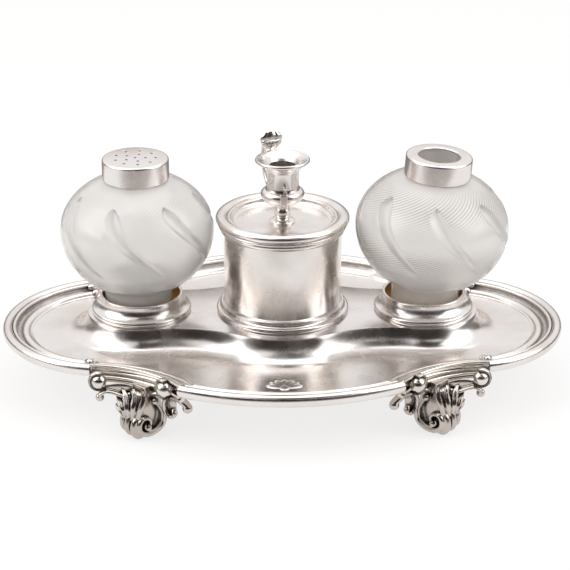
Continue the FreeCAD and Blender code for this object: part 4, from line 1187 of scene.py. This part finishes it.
@dataclass
class GlassPot:
    """Frosted globe on a foot with comma flutes, its silver neck band and the slip-on cap."""

    radius: float = 40.71
    foot_radius: float = 18.2
    foot_height: float = 14.5
    foot_bevel: float = 0.8
    lower_axis: float = 35.799
    upper_axis: float = 31.199
    wall: float = 4.2
    floor_share: float = 1.6
    neck_radius: float = 15.5
    neck_bore: float = 11.6
    neck_height: float = 10.0
    band_wall: float = 0.8
    band_gap: float = 0.6
    cap_wall: float = 1.0
    cap_slip: float = 0.3
    cap_round: float = 1.3
    skirt_gap: float = 0.5
    top_gap: float = 0.3
    cap_top: float = 1.1
    piercing: float = 0.75
    mouth: float = 11.1
    mouth_bevel: float = 0.5
    mouth_drop: float = 0.4
    flutes: int = 7
    flute_start: float = -25.0
    flute_tip: float = 43.0
    flute_span: float = 68.0
    flute_sweep: float = 46.0
    flute_half: float = 5.0
    flute_depth: float = 2.3

    @property
    def middle(self) -> float:
        """Height of the widest place."""
        return self.foot_height + self.lower_axis * math.sqrt(1 - (self.foot_radius / self.radius) ** 2)

    @property
    def cap_radius(self) -> float:
        """Outer radius of the cap."""
        return self.neck_radius + self.band_wall + self.cap_slip + self.cap_wall

    @property
    def shoulder(self) -> float:
        """Height where the cap's skirt meets the globe."""
        inner = self.cap_radius - self.cap_wall
        return self.middle + self.upper_axis * math.sqrt(1 - (inner / self.radius) ** 2)

    @property
    def neck_top(self) -> float:
        """Height of the neck's mouth."""
        return self.shoulder + self.neck_height

    def oval(self, radius: float, axes: Pair, low: float, high: float, steps: int) -> list[Vector]:
        """Outline of a globe from its low radius, below the middle, to its high radius above it."""
        start, stop = -math.acos(low / radius), math.acos(high / radius)
        points = []
        for i in range(steps + 1):
            a = start + (stop - start) * i / steps
            points.append(Vector((radius * math.cos(a), 0.0, self.middle + math.sin(a) * axes[a > 0])))
        return points

    def flute_at(self, bearing: float, latitude: float) -> float:
        """Depth of the flutes at a place of the globe.

        Args:
            bearing: degrees around, from the front to the right.
            latitude: degrees above the middle.
        Returns:
            Share of the full depth.
        """
        t = (self.flute_tip - latitude) / self.flute_span
        if not 0.0 < t < 1.0:
            return 0.0
        pitch = 360.0 / self.flutes
        centre = self.flute_start + self.flute_sweep * t ** 1.6
        offset = (bearing - centre + pitch / 2) % pitch - pitch / 2
        reach = math.radians(offset) * self.radius * math.cos(math.radians(latitude)) * (1.0 - 0.35 * t)
        half = self.flute_half * min(1.0, (t / 0.16) ** 0.6) * (1.0 - t) ** 0.55
        if half <= 0.0 or abs(reach) > half:
            return 0.0
        share = reach / half
        return (1.0 - share * share) * (1.0 + 0.25 * share) * min(1.0, 1.25 * (1.0 - t) ** 0.5)

    def glass(self, engraved: float) -> BMesh:
        """Hollow glass with its flutes, standing on z = 0.

        Args:
            engraved: how strong its hair lines are.
        Returns:
            The mesh with the attributes flute, swirl and lined.
        """
        bm = bmesh.new()
        outside = section_of((0.0, 0.0), (self.foot_radius - self.foot_bevel, 0.0), (self.foot_radius, self.foot_bevel),
                             (self.foot_radius, self.foot_height * 0.6))
        outside += self.oval(self.radius, (self.lower_axis, self.upper_axis), self.foot_radius, self.neck_radius, 120)
        outside += [Vector((self.neck_radius, 0.0, self.neck_top))]
        axes = (self.lower_axis - self.wall * self.floor_share, self.upper_axis - self.wall)
        inside = self.oval(self.radius - self.wall, axes, 0.02, self.neck_bore, 60)
        inside[0].x = 0.0
        inside.append(Vector((self.neck_bore, 0.0, self.neck_top)))
        lathe(bm, outside + inside[::-1], 400)
        bmesh.ops.recalc_face_normals(bm, faces=bm.faces)
        flute = bm.verts.layers.float.new("flute")
        swirl = bm.verts.layers.float.new("swirl")
        lined = bm.verts.layers.float.new("lined")
        for vert in bm.verts:
            around = math.hypot(vert.co.x, vert.co.y)
            rise = vert.co.z - self.middle
            axis = self.upper_axis if rise > 0 else self.lower_axis
            shell = math.hypot(around / self.radius, rise / axis)
            if shell < 0.97 or around < self.neck_radius + 1.0 or vert.co.z < self.foot_height:
                continue
            latitude = math.degrees(math.atan2(rise / axis, around / self.radius))
            bearing = math.degrees(math.atan2(vert.co.x, -vert.co.y))
            depth = self.flute_at(bearing, latitude)
            vert[flute] = depth
            vert[swirl] = rise - math.radians(bearing) * self.radius * 0.42
            upper = math.exp(-((latitude - 40.0) / 13.0) ** 2)
            lower = math.exp(-((latitude + 12.0) / 10.0) ** 2)
            vert[lined] = engraved * min(1.0, 0.08 + upper + 0.9 * lower) * max(0.0, 1.0 - 3.0 * depth)
            way = Vector((vert.co.x / self.radius ** 2, vert.co.y / self.radius ** 2, rise / axis ** 2)).normalized()
            vert.co -= way * (depth * self.flute_depth)
        return bm

    def cap(self, mouth: float) -> BMesh:
        """Slip-on cap with a round mouth, or closed and pierced for shaking.

        Args:
            mouth: radius of its opening, or 0 for shaker holes.
        Returns:
            The mesh.
        """
        bm = bmesh.new()
        inner = self.cap_radius - self.cap_wall
        low = self.shoulder + self.skirt_gap
        under = self.neck_top + self.top_gap
        top = under + self.cap_top
        bend = self.cap_round * (1 - math.sqrt(0.5))
        edge = Vector((self.cap_radius, 0.0, top - self.cap_round))
        outline = section_of((mouth, under), (inner, under), (inner, low), (self.cap_radius, low), edge.xz)
        outline += arc(edge, Vector((self.cap_radius - bend, 0.0, top - bend)),
                       Vector((self.cap_radius - self.cap_round, 0.0, top)), 6)
        if mouth:
            outline += section_of((mouth + self.mouth_bevel, top), (mouth, top - self.mouth_drop))
            lathe(bm, outline, 128, True)
            return bm
        lathe(bm, outline + [Vector((0.0, 0.0, top))], 128)
        bmesh.ops.recalc_face_normals(bm, faces=bm.faces)
        pins = bmesh.new()
        for share, count in ((0.0, 1), (0.31, 5), (0.61, 9)):
            for index in range(count):
                a = FULL_TURN * index / count
                spot = level(a) * (share * self.cap_radius) + UP * top
                bmesh.ops.create_cone(pins, cap_ends=True, segments=24, radius1=self.piercing, radius2=self.piercing,
                                      depth=4 * self.cap_top, matrix=Matrix.Translation(spot))
        return pierced(bm, pins)

    def build(self, finishes: Finishes, place: Matrix, kind: str, cap_node: str, bodies: tuple[Body, Body],
              mouth: float, turn: float, engraved: float) -> None:
        """Build and dress one pot with its band and cap.

        Args:
            finishes: the materials.
            place: where the pot stands.
            kind: first word of its nodes' names.
            cap_node: node of its cap.
            bodies: bodies of the pot and of the cap.
            mouth: radius of the cap's opening, or 0 for shaker holes.
            turn: degrees the glass is turned on its axis.
            engraved: how strong its hair lines are.
        """
        glass = Piece(f"{kind}_globe", bodies[0], Slot.GLASS, (f"{kind}_glass",), self.glass(engraved), crease=30.0)
        spun = place @ Matrix.Rotation(math.radians(turn), 4, "Z")
        glass.move(spun)
        glass.finish(finishes.glass, tidy=False)
        band = Piece(f"{kind}_band", bodies[0], Slot.SILVER, (f"{kind}_neck_band",))
        low = self.middle + self.upper_axis * math.sqrt(1 - (self.neck_radius / self.radius) ** 2) + self.band_gap
        outer = self.neck_radius + self.band_wall
        section = section_of((self.neck_radius, low), (outer, low), (outer, self.neck_top),
                             (self.neck_radius, self.neck_top))
        lathe(band.bm, section, 96, True)
        band.move(place)
        band.finish(finishes.silver)
        cap = Piece(f"{cap_node}_turned", bodies[1], Slot.SILVER, (cap_node,), self.cap(mouth))
        cap.move(place)
        cap.finish(finishes.satin)


@dataclass
class RoundBox:
    """Turned box on the island: wall, floor and two mouldings."""

    low: float = 39.7
    radius: float = 31.4
    sheet: float = 1.2
    height: float = 49.0
    base_radius: float = 35.5
    base_height: float = 6.2
    segments: int = 192
    top_radius: float = 33.2
    top_height: float = 3.4
    base_shares: Shares = (
        (0.0, 0.0), (0.88, 0.0), ((1.0, 0.19), (0.88, 0.40)), (0.70, 0.44), ((0.45, 0.52), (0.36, 0.72)),
        ((0.36, 0.92), (0.14, 0.94)), (0.0, 1.0))
    top_shares: Shares = ((0.0, 0.0), ((1.0, 0.55), (0.55, 1.0)), (0.0, 1.0))

    def build(self, finishes: Finishes) -> None:
        """Build and dress the box."""
        inner, top = self.radius - self.sheet, self.low + self.height
        wall = section_of((inner, self.low), (self.radius, self.low), (self.radius, top), (inner, top))
        turned("box_wall", Body.TRAY, wall, True, finishes.silver, self.segments)
        base = ring_place(self.radius, self.base_radius, self.low, self.base_height)
        turned("box_base_moulding", Body.TRAY, drawn(self.base_shares, base), True, finishes.silver, self.segments)
        lip = ring_place(self.radius, self.top_radius, top - self.top_height, self.top_height)
        turned("box_top_moulding", Body.TRAY, drawn(self.top_shares, lip), True, finishes.silver, self.segments)
        floor_z = self.low + self.sheet
        floor = section_of((0.0, self.low), (inner, self.low), (inner, floor_z), (0.0, floor_z))
        turned("box_floor", Body.TRAY, floor, False, finishes.satin, self.segments)


@dataclass
class TaperLid:
    """Lid of the box with its taper socket, lug and loop handle."""

    low: float = 88.7
    radius: float = 35.5
    height: float = 6.0
    segments: int = 160
    plate_radius: float = 29.4
    dish: float = 0.21
    hole: float = 2.0
    bezel_outer: float = 29.9
    bezel_wall: float = 0.9
    bezel_depth: float = 7.0
    stud: float = 1.9
    stud_length: float = 4.0
    stem_height: float = 10.2
    stem_radius: float = 6.8
    socket_height: float = 25.4
    socket_radius: float = 14.4
    taper: float = 7.0
    taper_depth: float = 17.0
    handle_heading: float = 19.0
    handle_tube: float = 1.25
    handle_reach: float = 30.0
    handle_span: float = 25.4
    leaf_height: float = 10.5
    leaf_width: float = 12.4
    leaf_reach: float = 0.58
    leaf_foot: float = 1.03
    lug_low: Sequence[float] = (-1.45, -12.42, 101.18)
    lug_high: Sequence[float] = (2.45, -9.82, 108.98)
    tongue_low: Sequence[float] = (0.5, -9.9, 105.08)
    tongue_high: Sequence[float] = (2.3, -8.1, 112.18)
    rivet_radius: float = 1.2
    rivet_at: Sequence[float] = (1.4, -9.6, 112.18)
    rivet_length: float = 2.4
    rim_shares: Shares = (
        (0.0, 0.0), (0.52, 0.0), ((0.80, 0.12), (0.66, 0.25)), ((1.0, 0.58), (0.72, 0.95)), ((0.36, 1.0), (0.0, 0.80)))
    plate_shares: Shares = (
        (0.0, 0.0), (1.0, 0.0), (1.0, 0.66), ((0.965, 0.82), (0.93, 0.66)), ((0.90, 0.36), (0.80, 0.26)),
        (0.30, 0.21), (0.0, 0.21))
    stem_shares: Shares = (
        (1.0, 0.0), ((1.0, 0.07), (0.92, 0.12)), (0.52, 0.16), ((0.64, 0.54), (0.40, 0.90)), (0.45, 1.0))
    socket_shares: Shares = (
        (0.0, 0.0), (0.22, 0.0), ((0.60, 0.05), (0.80, 0.19)), ((0.76, 0.29), (0.64, 0.335)), (0.60, 0.38),
        ((0.585, 0.55), (0.60, 0.74)), (0.66, 0.77), ((0.74, 0.865), (0.97, 0.925)), ((1.0, 0.97), (0.96, 1.0)))
    handle_shares: Sequence[Pair] = (
        (0.24, 0.13), (0.56, 0.03), (0.84, 0.20), (0.99, 0.50), (1.0, 0.76), (0.90, 0.98), (0.72, 1.04), (0.55, 1.0),
        (0.44, 0.93))

    @property
    def stem_low(self) -> float:
        """Height of the stem's foot."""
        return self.low + self.height * self.dish

    @property
    def socket_low(self) -> float:
        """Height of the socket's foot."""
        return self.stem_low + self.stem_height

    def socket_outline(self) -> list[Vector]:
        """Outline of the socket from its foot over the lip into the bore."""
        place = ring_place(0.0, self.socket_radius, self.socket_low, self.socket_height)
        outline = drawn(self.socket_shares, place)
        mouth = Vector((self.taper, 0.0, self.socket_low + 0.84 * self.socket_height))
        outline += arc(outline[-1], place(0.70, 0.945), mouth, 10)
        bottom = mouth - UP * self.taper_depth
        return outline + [bottom, Vector((0.0, 0.0, bottom.z))]

    def handle_spot(self, reach: float, rise: float) -> Vector:
        """Point of the handle's upright plane."""
        a = math.radians(self.handle_heading)
        out = Vector((-math.sin(a), math.cos(a), 0.0)) * (reach * self.handle_reach)
        return out + UP * (self.socket_low + rise * self.handle_span)

    def handle(self, finishes: Finishes) -> None:
        """Wire loop and its leaf thumb-piece."""
        piece = Piece("handle_wire", Body.LID, Slot.SILVER, ("handle_loop",))
        line = flowing([self.handle_spot(a, b) for a, b in self.handle_shares], 10)
        a = math.radians(self.handle_heading)
        side = level(a)
        sweep(piece.bm, line, lambda t: (self.handle_tube, self.handle_tube), side, 20)
        piece.finish(finishes.silver)
        leaf = Piece("thumb_leaf_casting", Body.LID, Slot.SILVER, ("thumb_leaf",), crease=70.0)
        verts = bmesh.ops.create_grid(leaf.bm, x_segments=40, y_segments=28, size=1.0)["verts"]
        for vert in verts:
            u, v = vert.co.x, 0.5 + 0.5 * vert.co.y
            half = self.leaf_width / 2 * (0.55 + 0.45 * math.sin(min(1.0, v * 1.3) * math.pi / 2))
            half *= 1.0 - 0.25 * max(0.0, v - 0.75) / 0.25
            top = 1.0 + 0.05 * abs(math.cos(u * 1.5 * math.pi)) - 0.16 * u * u
            curve = 1.1 * math.sin(v * math.pi) - 1.1 * u * u + 0.22 * abs(math.cos(u * 1.5 * math.pi))
            height = self.leaf_height * 0.8 * v * top
            vert.co = side * (u * half) + UP * height - side.cross(UP) * -curve
        bmesh.ops.solidify(leaf.bm, geom=leaf.bm.faces[:], thickness=1.6)
        bmesh.ops.translate(leaf.bm, verts=leaf.bm.verts, vec=self.handle_spot(self.leaf_reach, self.leaf_foot))
        bmesh.ops.recalc_face_normals(leaf.bm, faces=leaf.bm.faces)
        leaf.bm = cast_in_one(leaf.bm, 0.16, 3)
        # Painted shade, with dark tarnish, in the leaf's folds.
        paint_recess_shade_and_tarnish(leaf.bm, 2.0)
        leaf.finish(finishes.cast)

    def lug(self, finishes: Finishes) -> None:
        """Plate before the socket's bulge, with the tongue and rivet that hold it."""
        piece = Piece("socket_lug_plate", Body.LID, Slot.SILVER, ("socket_lug",))
        rounded_block(piece.bm, Vector(self.lug_low), Vector(self.lug_high), 0.45)
        rounded_block(piece.bm, Vector(self.tongue_low), Vector(self.tongue_high), 0.3)
        turn = Matrix.Rotation(math.pi / 2, 4, "X")
        made = bmesh.ops.create_cone(piece.bm, cap_ends=True, segments=32, radius1=self.rivet_radius,
                                     radius2=self.rivet_radius, depth=self.rivet_length,
                                     matrix=Matrix.Translation(self.rivet_at) @ turn)["verts"]
        edges = {e for v in made for e in v.link_edges if e.calc_face_angle() > 1.0}
        bmesh.ops.bevel(piece.bm, geom=list(edges), offset=0.4, affect="EDGES", segments=3, profile=0.5, material=-1)
        piece.finish(finishes.silver)

    def build(self, finishes: Finishes) -> None:
        """Build and dress the lid."""
        plate = ring_place(self.hole, self.plate_radius, self.low, self.height)
        turned("lid_plate", Body.LID, drawn(self.plate_shares, plate), True, finishes.silver, self.segments)
        rim = ring_place(self.plate_radius, self.radius, self.low, self.height)
        turned("lid_rim", Body.LID, drawn(self.rim_shares, rim), True, finishes.silver, self.segments)
        inner, foot = self.bezel_outer - self.bezel_wall, self.low - self.bezel_depth
        bezel = section_of((inner, foot), (self.bezel_outer, foot), (self.bezel_outer, self.low), (inner, self.low))
        turned("lid_bezel", Body.LID, bezel, True, finishes.silver, self.segments)
        stud_low = self.low - self.stud_length
        stem = section_of((0.0, stud_low), (self.stud, stud_low), (self.stud, self.stem_low))
        stem += drawn(self.stem_shares, ring_place(0.0, self.stem_radius, self.stem_low, self.stem_height))
        stem.append(Vector((0.0, 0.0, self.socket_low)))
        turned("candle_stem", Body.LID, stem, False, finishes.silver, self.segments)
        turned("candle_socket", Body.LID, self.socket_outline(), False, finishes.silver, self.segments)
        self.lug(finishes)
        self.handle(finishes)


@dataclass
class Studio:
    """Pale floor, soft lights, dark cards for the silver to show, and the camera."""

    camera_mm: tuple[float, float, float] = (-13.5, -1058.5, 502.5)
    target_mm: tuple[float, float, float] = (1.3, 0.0, 53.2)
    lens: float = 135.1

    def camera(self) -> None:
        """Camera at the photograph's place."""
        data = bpy.data.cameras.new("camera")
        data.lens = self.lens
        data.sensor_width = 36.0
        data.clip_start, data.clip_end = 0.01, 20.0
        cam = bpy.data.objects.new("camera", data)
        cam.location = Vector(self.camera_mm) * MM
        way = (Vector(self.target_mm) - Vector(self.camera_mm)).normalized()
        cam.rotation_euler = way.to_track_quat("-Z", "Y").to_euler()
        bpy.context.scene.collection.objects.link(cam)
        bpy.context.scene.camera = cam

    def card(self, name: str, material: bpy.types.Material, place: Matrix, size: Pair) -> bpy.types.Object:
        """Flat card of the stage.

        Args:
            name: the card's name.
            material: its material.
            place: its place in metres.
            size: its two sizes in metres.
        Returns:
            The card.
        """
        bm = bmesh.new()
        bmesh.ops.create_grid(bm, x_segments=1, y_segments=1, size=0.5,
                              matrix=place @ Matrix.Diagonal((size[0], size[1], 1.0, 1.0)))
        mesh = bpy.data.meshes.new(name)
        bm.to_mesh(mesh)
        bm.free()
        mesh.materials.append(material)
        card = bpy.data.objects.new(name, mesh)
        bpy.context.scene.collection.objects.link(card)
        return card

    def floor(self) -> None:
        """White floor that glows mostly by itself, so that shadows stay soft."""
        material, tree = empty_material("white_floor")
        matte = add_node(tree, "ShaderNodeBsdfDiffuse", {"Color": colour("#f4f3f1")})
        glow = add_node(tree, "ShaderNodeEmission", {"Color": colour(WHITE), "Strength": 1.0})
        mix = add_node(tree, "ShaderNodeMixShader", {"Fac": 0.72}, {1: matte.outputs[0], 2: glow.outputs[0]})
        add_node(tree, "ShaderNodeOutputMaterial", links={"Surface": mix.outputs[0]})
        self.card("floor", material, Matrix.Identity(4), (6.0, 6.0))

    def dark_card(self, name: str, code: str, at: Vector, to: Vector, size: Pair) -> None:
        """Card that only mirrors see."""
        material, tree = empty_material(name)
        glow = add_node(tree, "ShaderNodeEmission", {"Color": colour(code), "Strength": 1.0})
        add_node(tree, "ShaderNodeOutputMaterial", links={"Surface": glow.outputs[0]})
        turn = (to - at).normalized().to_track_quat("Z", "Y").to_matrix().to_4x4()
        card = self.card(name, material, Matrix.Translation(at) @ turn, size)
        card.visible_camera = False
        card.visible_diffuse = False
        card.visible_transmission = False
        card.visible_shadow = False

    def wall_card(self, name: str, code: str, at: Vector, size: Pair) -> None:
        """Upright card that faces the object's axis and that only mirrors see."""
        self.dark_card(name, code, at, Vector((0.0, 0.0, at.z)), size)

    def flat_card(self, name: str, code: str, at: Pair, size: Pair) -> None:
        """Card on the floor that only mirrors see."""
        spot = Vector((*at, 0.002))
        self.dark_card(name, code, spot, spot + UP, size)

    def lamp(self, name: str, at: Vector, size: Pair, watts: float) -> None:
        """Soft box aimed at the object."""
        data = bpy.data.lights.new(name, "AREA")
        data.shape = "RECTANGLE"
        data.size, data.size_y = size
        data.energy = watts
        lamp = bpy.data.objects.new(name, data)
        lamp.location = at
        lamp.rotation_euler = (Vector((0, 0, 0.06)) - at).to_track_quat("-Z", "Y").to_euler()
        bpy.context.scene.collection.objects.link(lamp)

    def world(self) -> None:
        """White surroundings for the camera, the metal and the glass; a plain level for the light they give."""
        world = bpy.data.worlds.new("tent")
        bpy.context.scene.world = world
        world.use_nodes = True
        tree = world.node_tree
        tree.nodes.clear()
        path = add_node(tree, "ShaderNodeLightPath")
        seen = add_node(tree, "ShaderNodeMath", {"operation": "MAXIMUM"},
                        {0: path.outputs["Is Camera Ray"], 1: path.outputs["Is Glossy Ray"]})
        shown = add_node(tree, "ShaderNodeMath", {"operation": "MAXIMUM"},
                         {0: seen.outputs[0], 1: path.outputs["Is Transmission Ray"]})
        plain = add_node(tree, "ShaderNodeBackground", {"Color": colour("#f2f0ee"), "Strength": 0.7})
        white = add_node(tree, "ShaderNodeBackground", {"Color": colour(WHITE), "Strength": 1.0})
        mix = add_node(tree, "ShaderNodeMixShader",
                       links={0: shown.outputs[0], 1: plain.outputs[0], 2: white.outputs[0]})
        add_node(tree, "ShaderNodeOutputWorld", links={"Surface": mix.outputs[0]})

    def build(self) -> None:
        """Set the stage."""
        bpy.context.scene.view_settings.view_transform = "Standard"
        self.camera()
        self.floor()
        self.world()
        middle = Vector((0.0, 0.0, 0.06))
        self.wall_card("camera_side", "#2f2b29", Vector((0.0, -1.9, 0.85)), (3.0, 1.74))
        self.dark_card("camera_side_top", "#37322f", Vector((0.34, -0.95, 1.75)), middle, (1.5, 1.1))
        for side in (-1, 1):
            self.wall_card("front_wing", "#3f3a37", Vector((side * 1.62, -1.35, 0.85)), (1.3, 1.74))
            self.wall_card("end_low", "#6f6661", Vector((side * 2.2, 0.0, 0.3)), (4.0, 0.62))
        self.wall_card("back_low", "#857c77", Vector((0.0, 2.2, 0.24)), (4.6, 0.48))
        self.wall_card("back_middle", "#d6d0cd", Vector((0.0, 2.2, 0.6)), (4.6, 0.24))
        self.flat_card("table_back", "#8f8783", (0.0, 1.2), (4.2, 1.9))
        self.flat_card("table_front", "#b5adaa", (0.0, -0.85), (0.9, 1.2))
        self.lamp("left_box", Vector((-1.3, -0.3, 1.0)), (1.2, 1.4), 11.0)
        self.lamp("right_box", Vector((1.3, -0.3, 1.0)), (1.2, 1.4), 10.0)
        self.lamp("top_box", Vector((0.0, 0.3, 1.6)), (1.8, 1.6), 9.0)


def dress_plain_nodes(material: bpy.types.Material) -> None:
    """Give the model's own nodes that still show the silver finish."""
    for name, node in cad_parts.items():
        if not node.hide_render:
            node.data.materials.clear()
            node.data.materials.append(material)
            LOG.info("%s: kept from the model", name)


def leaned_place(pot: GlassPot, ring_x: float, island_z: float, lean: float, heading: float, gap: float) -> Matrix:
    """Place of the pot that stands tipped on the edge of its foot.

    Args:
        pot: the pot.
        ring_x: its ring's axis.
        island_z: height of the island.
        lean: degrees it leans.
        heading: degrees it leans towards.
        gap: room under the foot's edge.
    Returns:
        The matrix from the pot's own frame.
    """
    h, a = math.radians(heading), math.radians(lean)
    edge = level(h) * pot.foot_radius
    turn = Matrix.Rotation(a, 4, Vector((-edge.y, edge.x, 0.0)))
    slide = edge * (1.0 - math.cos(a))
    return (Matrix.Translation(Vector((ring_x, 0.0, island_z + gap)) - slide) @ Matrix.Translation(edge) @ turn
            @ Matrix.Translation(-edge))


def main() -> None:
    """Build every sub-assembly, then the stage."""
    logging.basicConfig(level=logging.INFO, format="%(message)s")
    finishes = Finishes()
    tray = Tray()
    tray.build(finishes)
    ScrollFoot().build(finishes, tray)
    ring = PotRing()
    ring.build(finishes, -tray.ring_x, "pounce_ring")
    ring.build(finishes, tray.ring_x, "ink_ring")
    RoundBox().build(finishes)
    TaperLid().build(finishes)
    pot = GlassPot()
    upright = Matrix.Translation((-tray.ring_x - 1.2, 0.0, tray.island_z))
    pot.build(finishes, upright, "pounce", "pounce_cap", (Body.POUNCE_POT, Body.POUNCE_CAP), 0.0, 5.0, 0.15)
    leaned = leaned_place(pot, tray.ring_x, tray.island_z, 4.4, -20.0, 0.3)
    pot.build(finishes, leaned, "ink", "ink_collar", (Body.INK_POT, Body.INK_COLLAR), pot.mouth, 21.0, 1.0)
    dress_plain_nodes(finishes.silver)
    Studio().build()


if __name__ == "__main__":
    main()
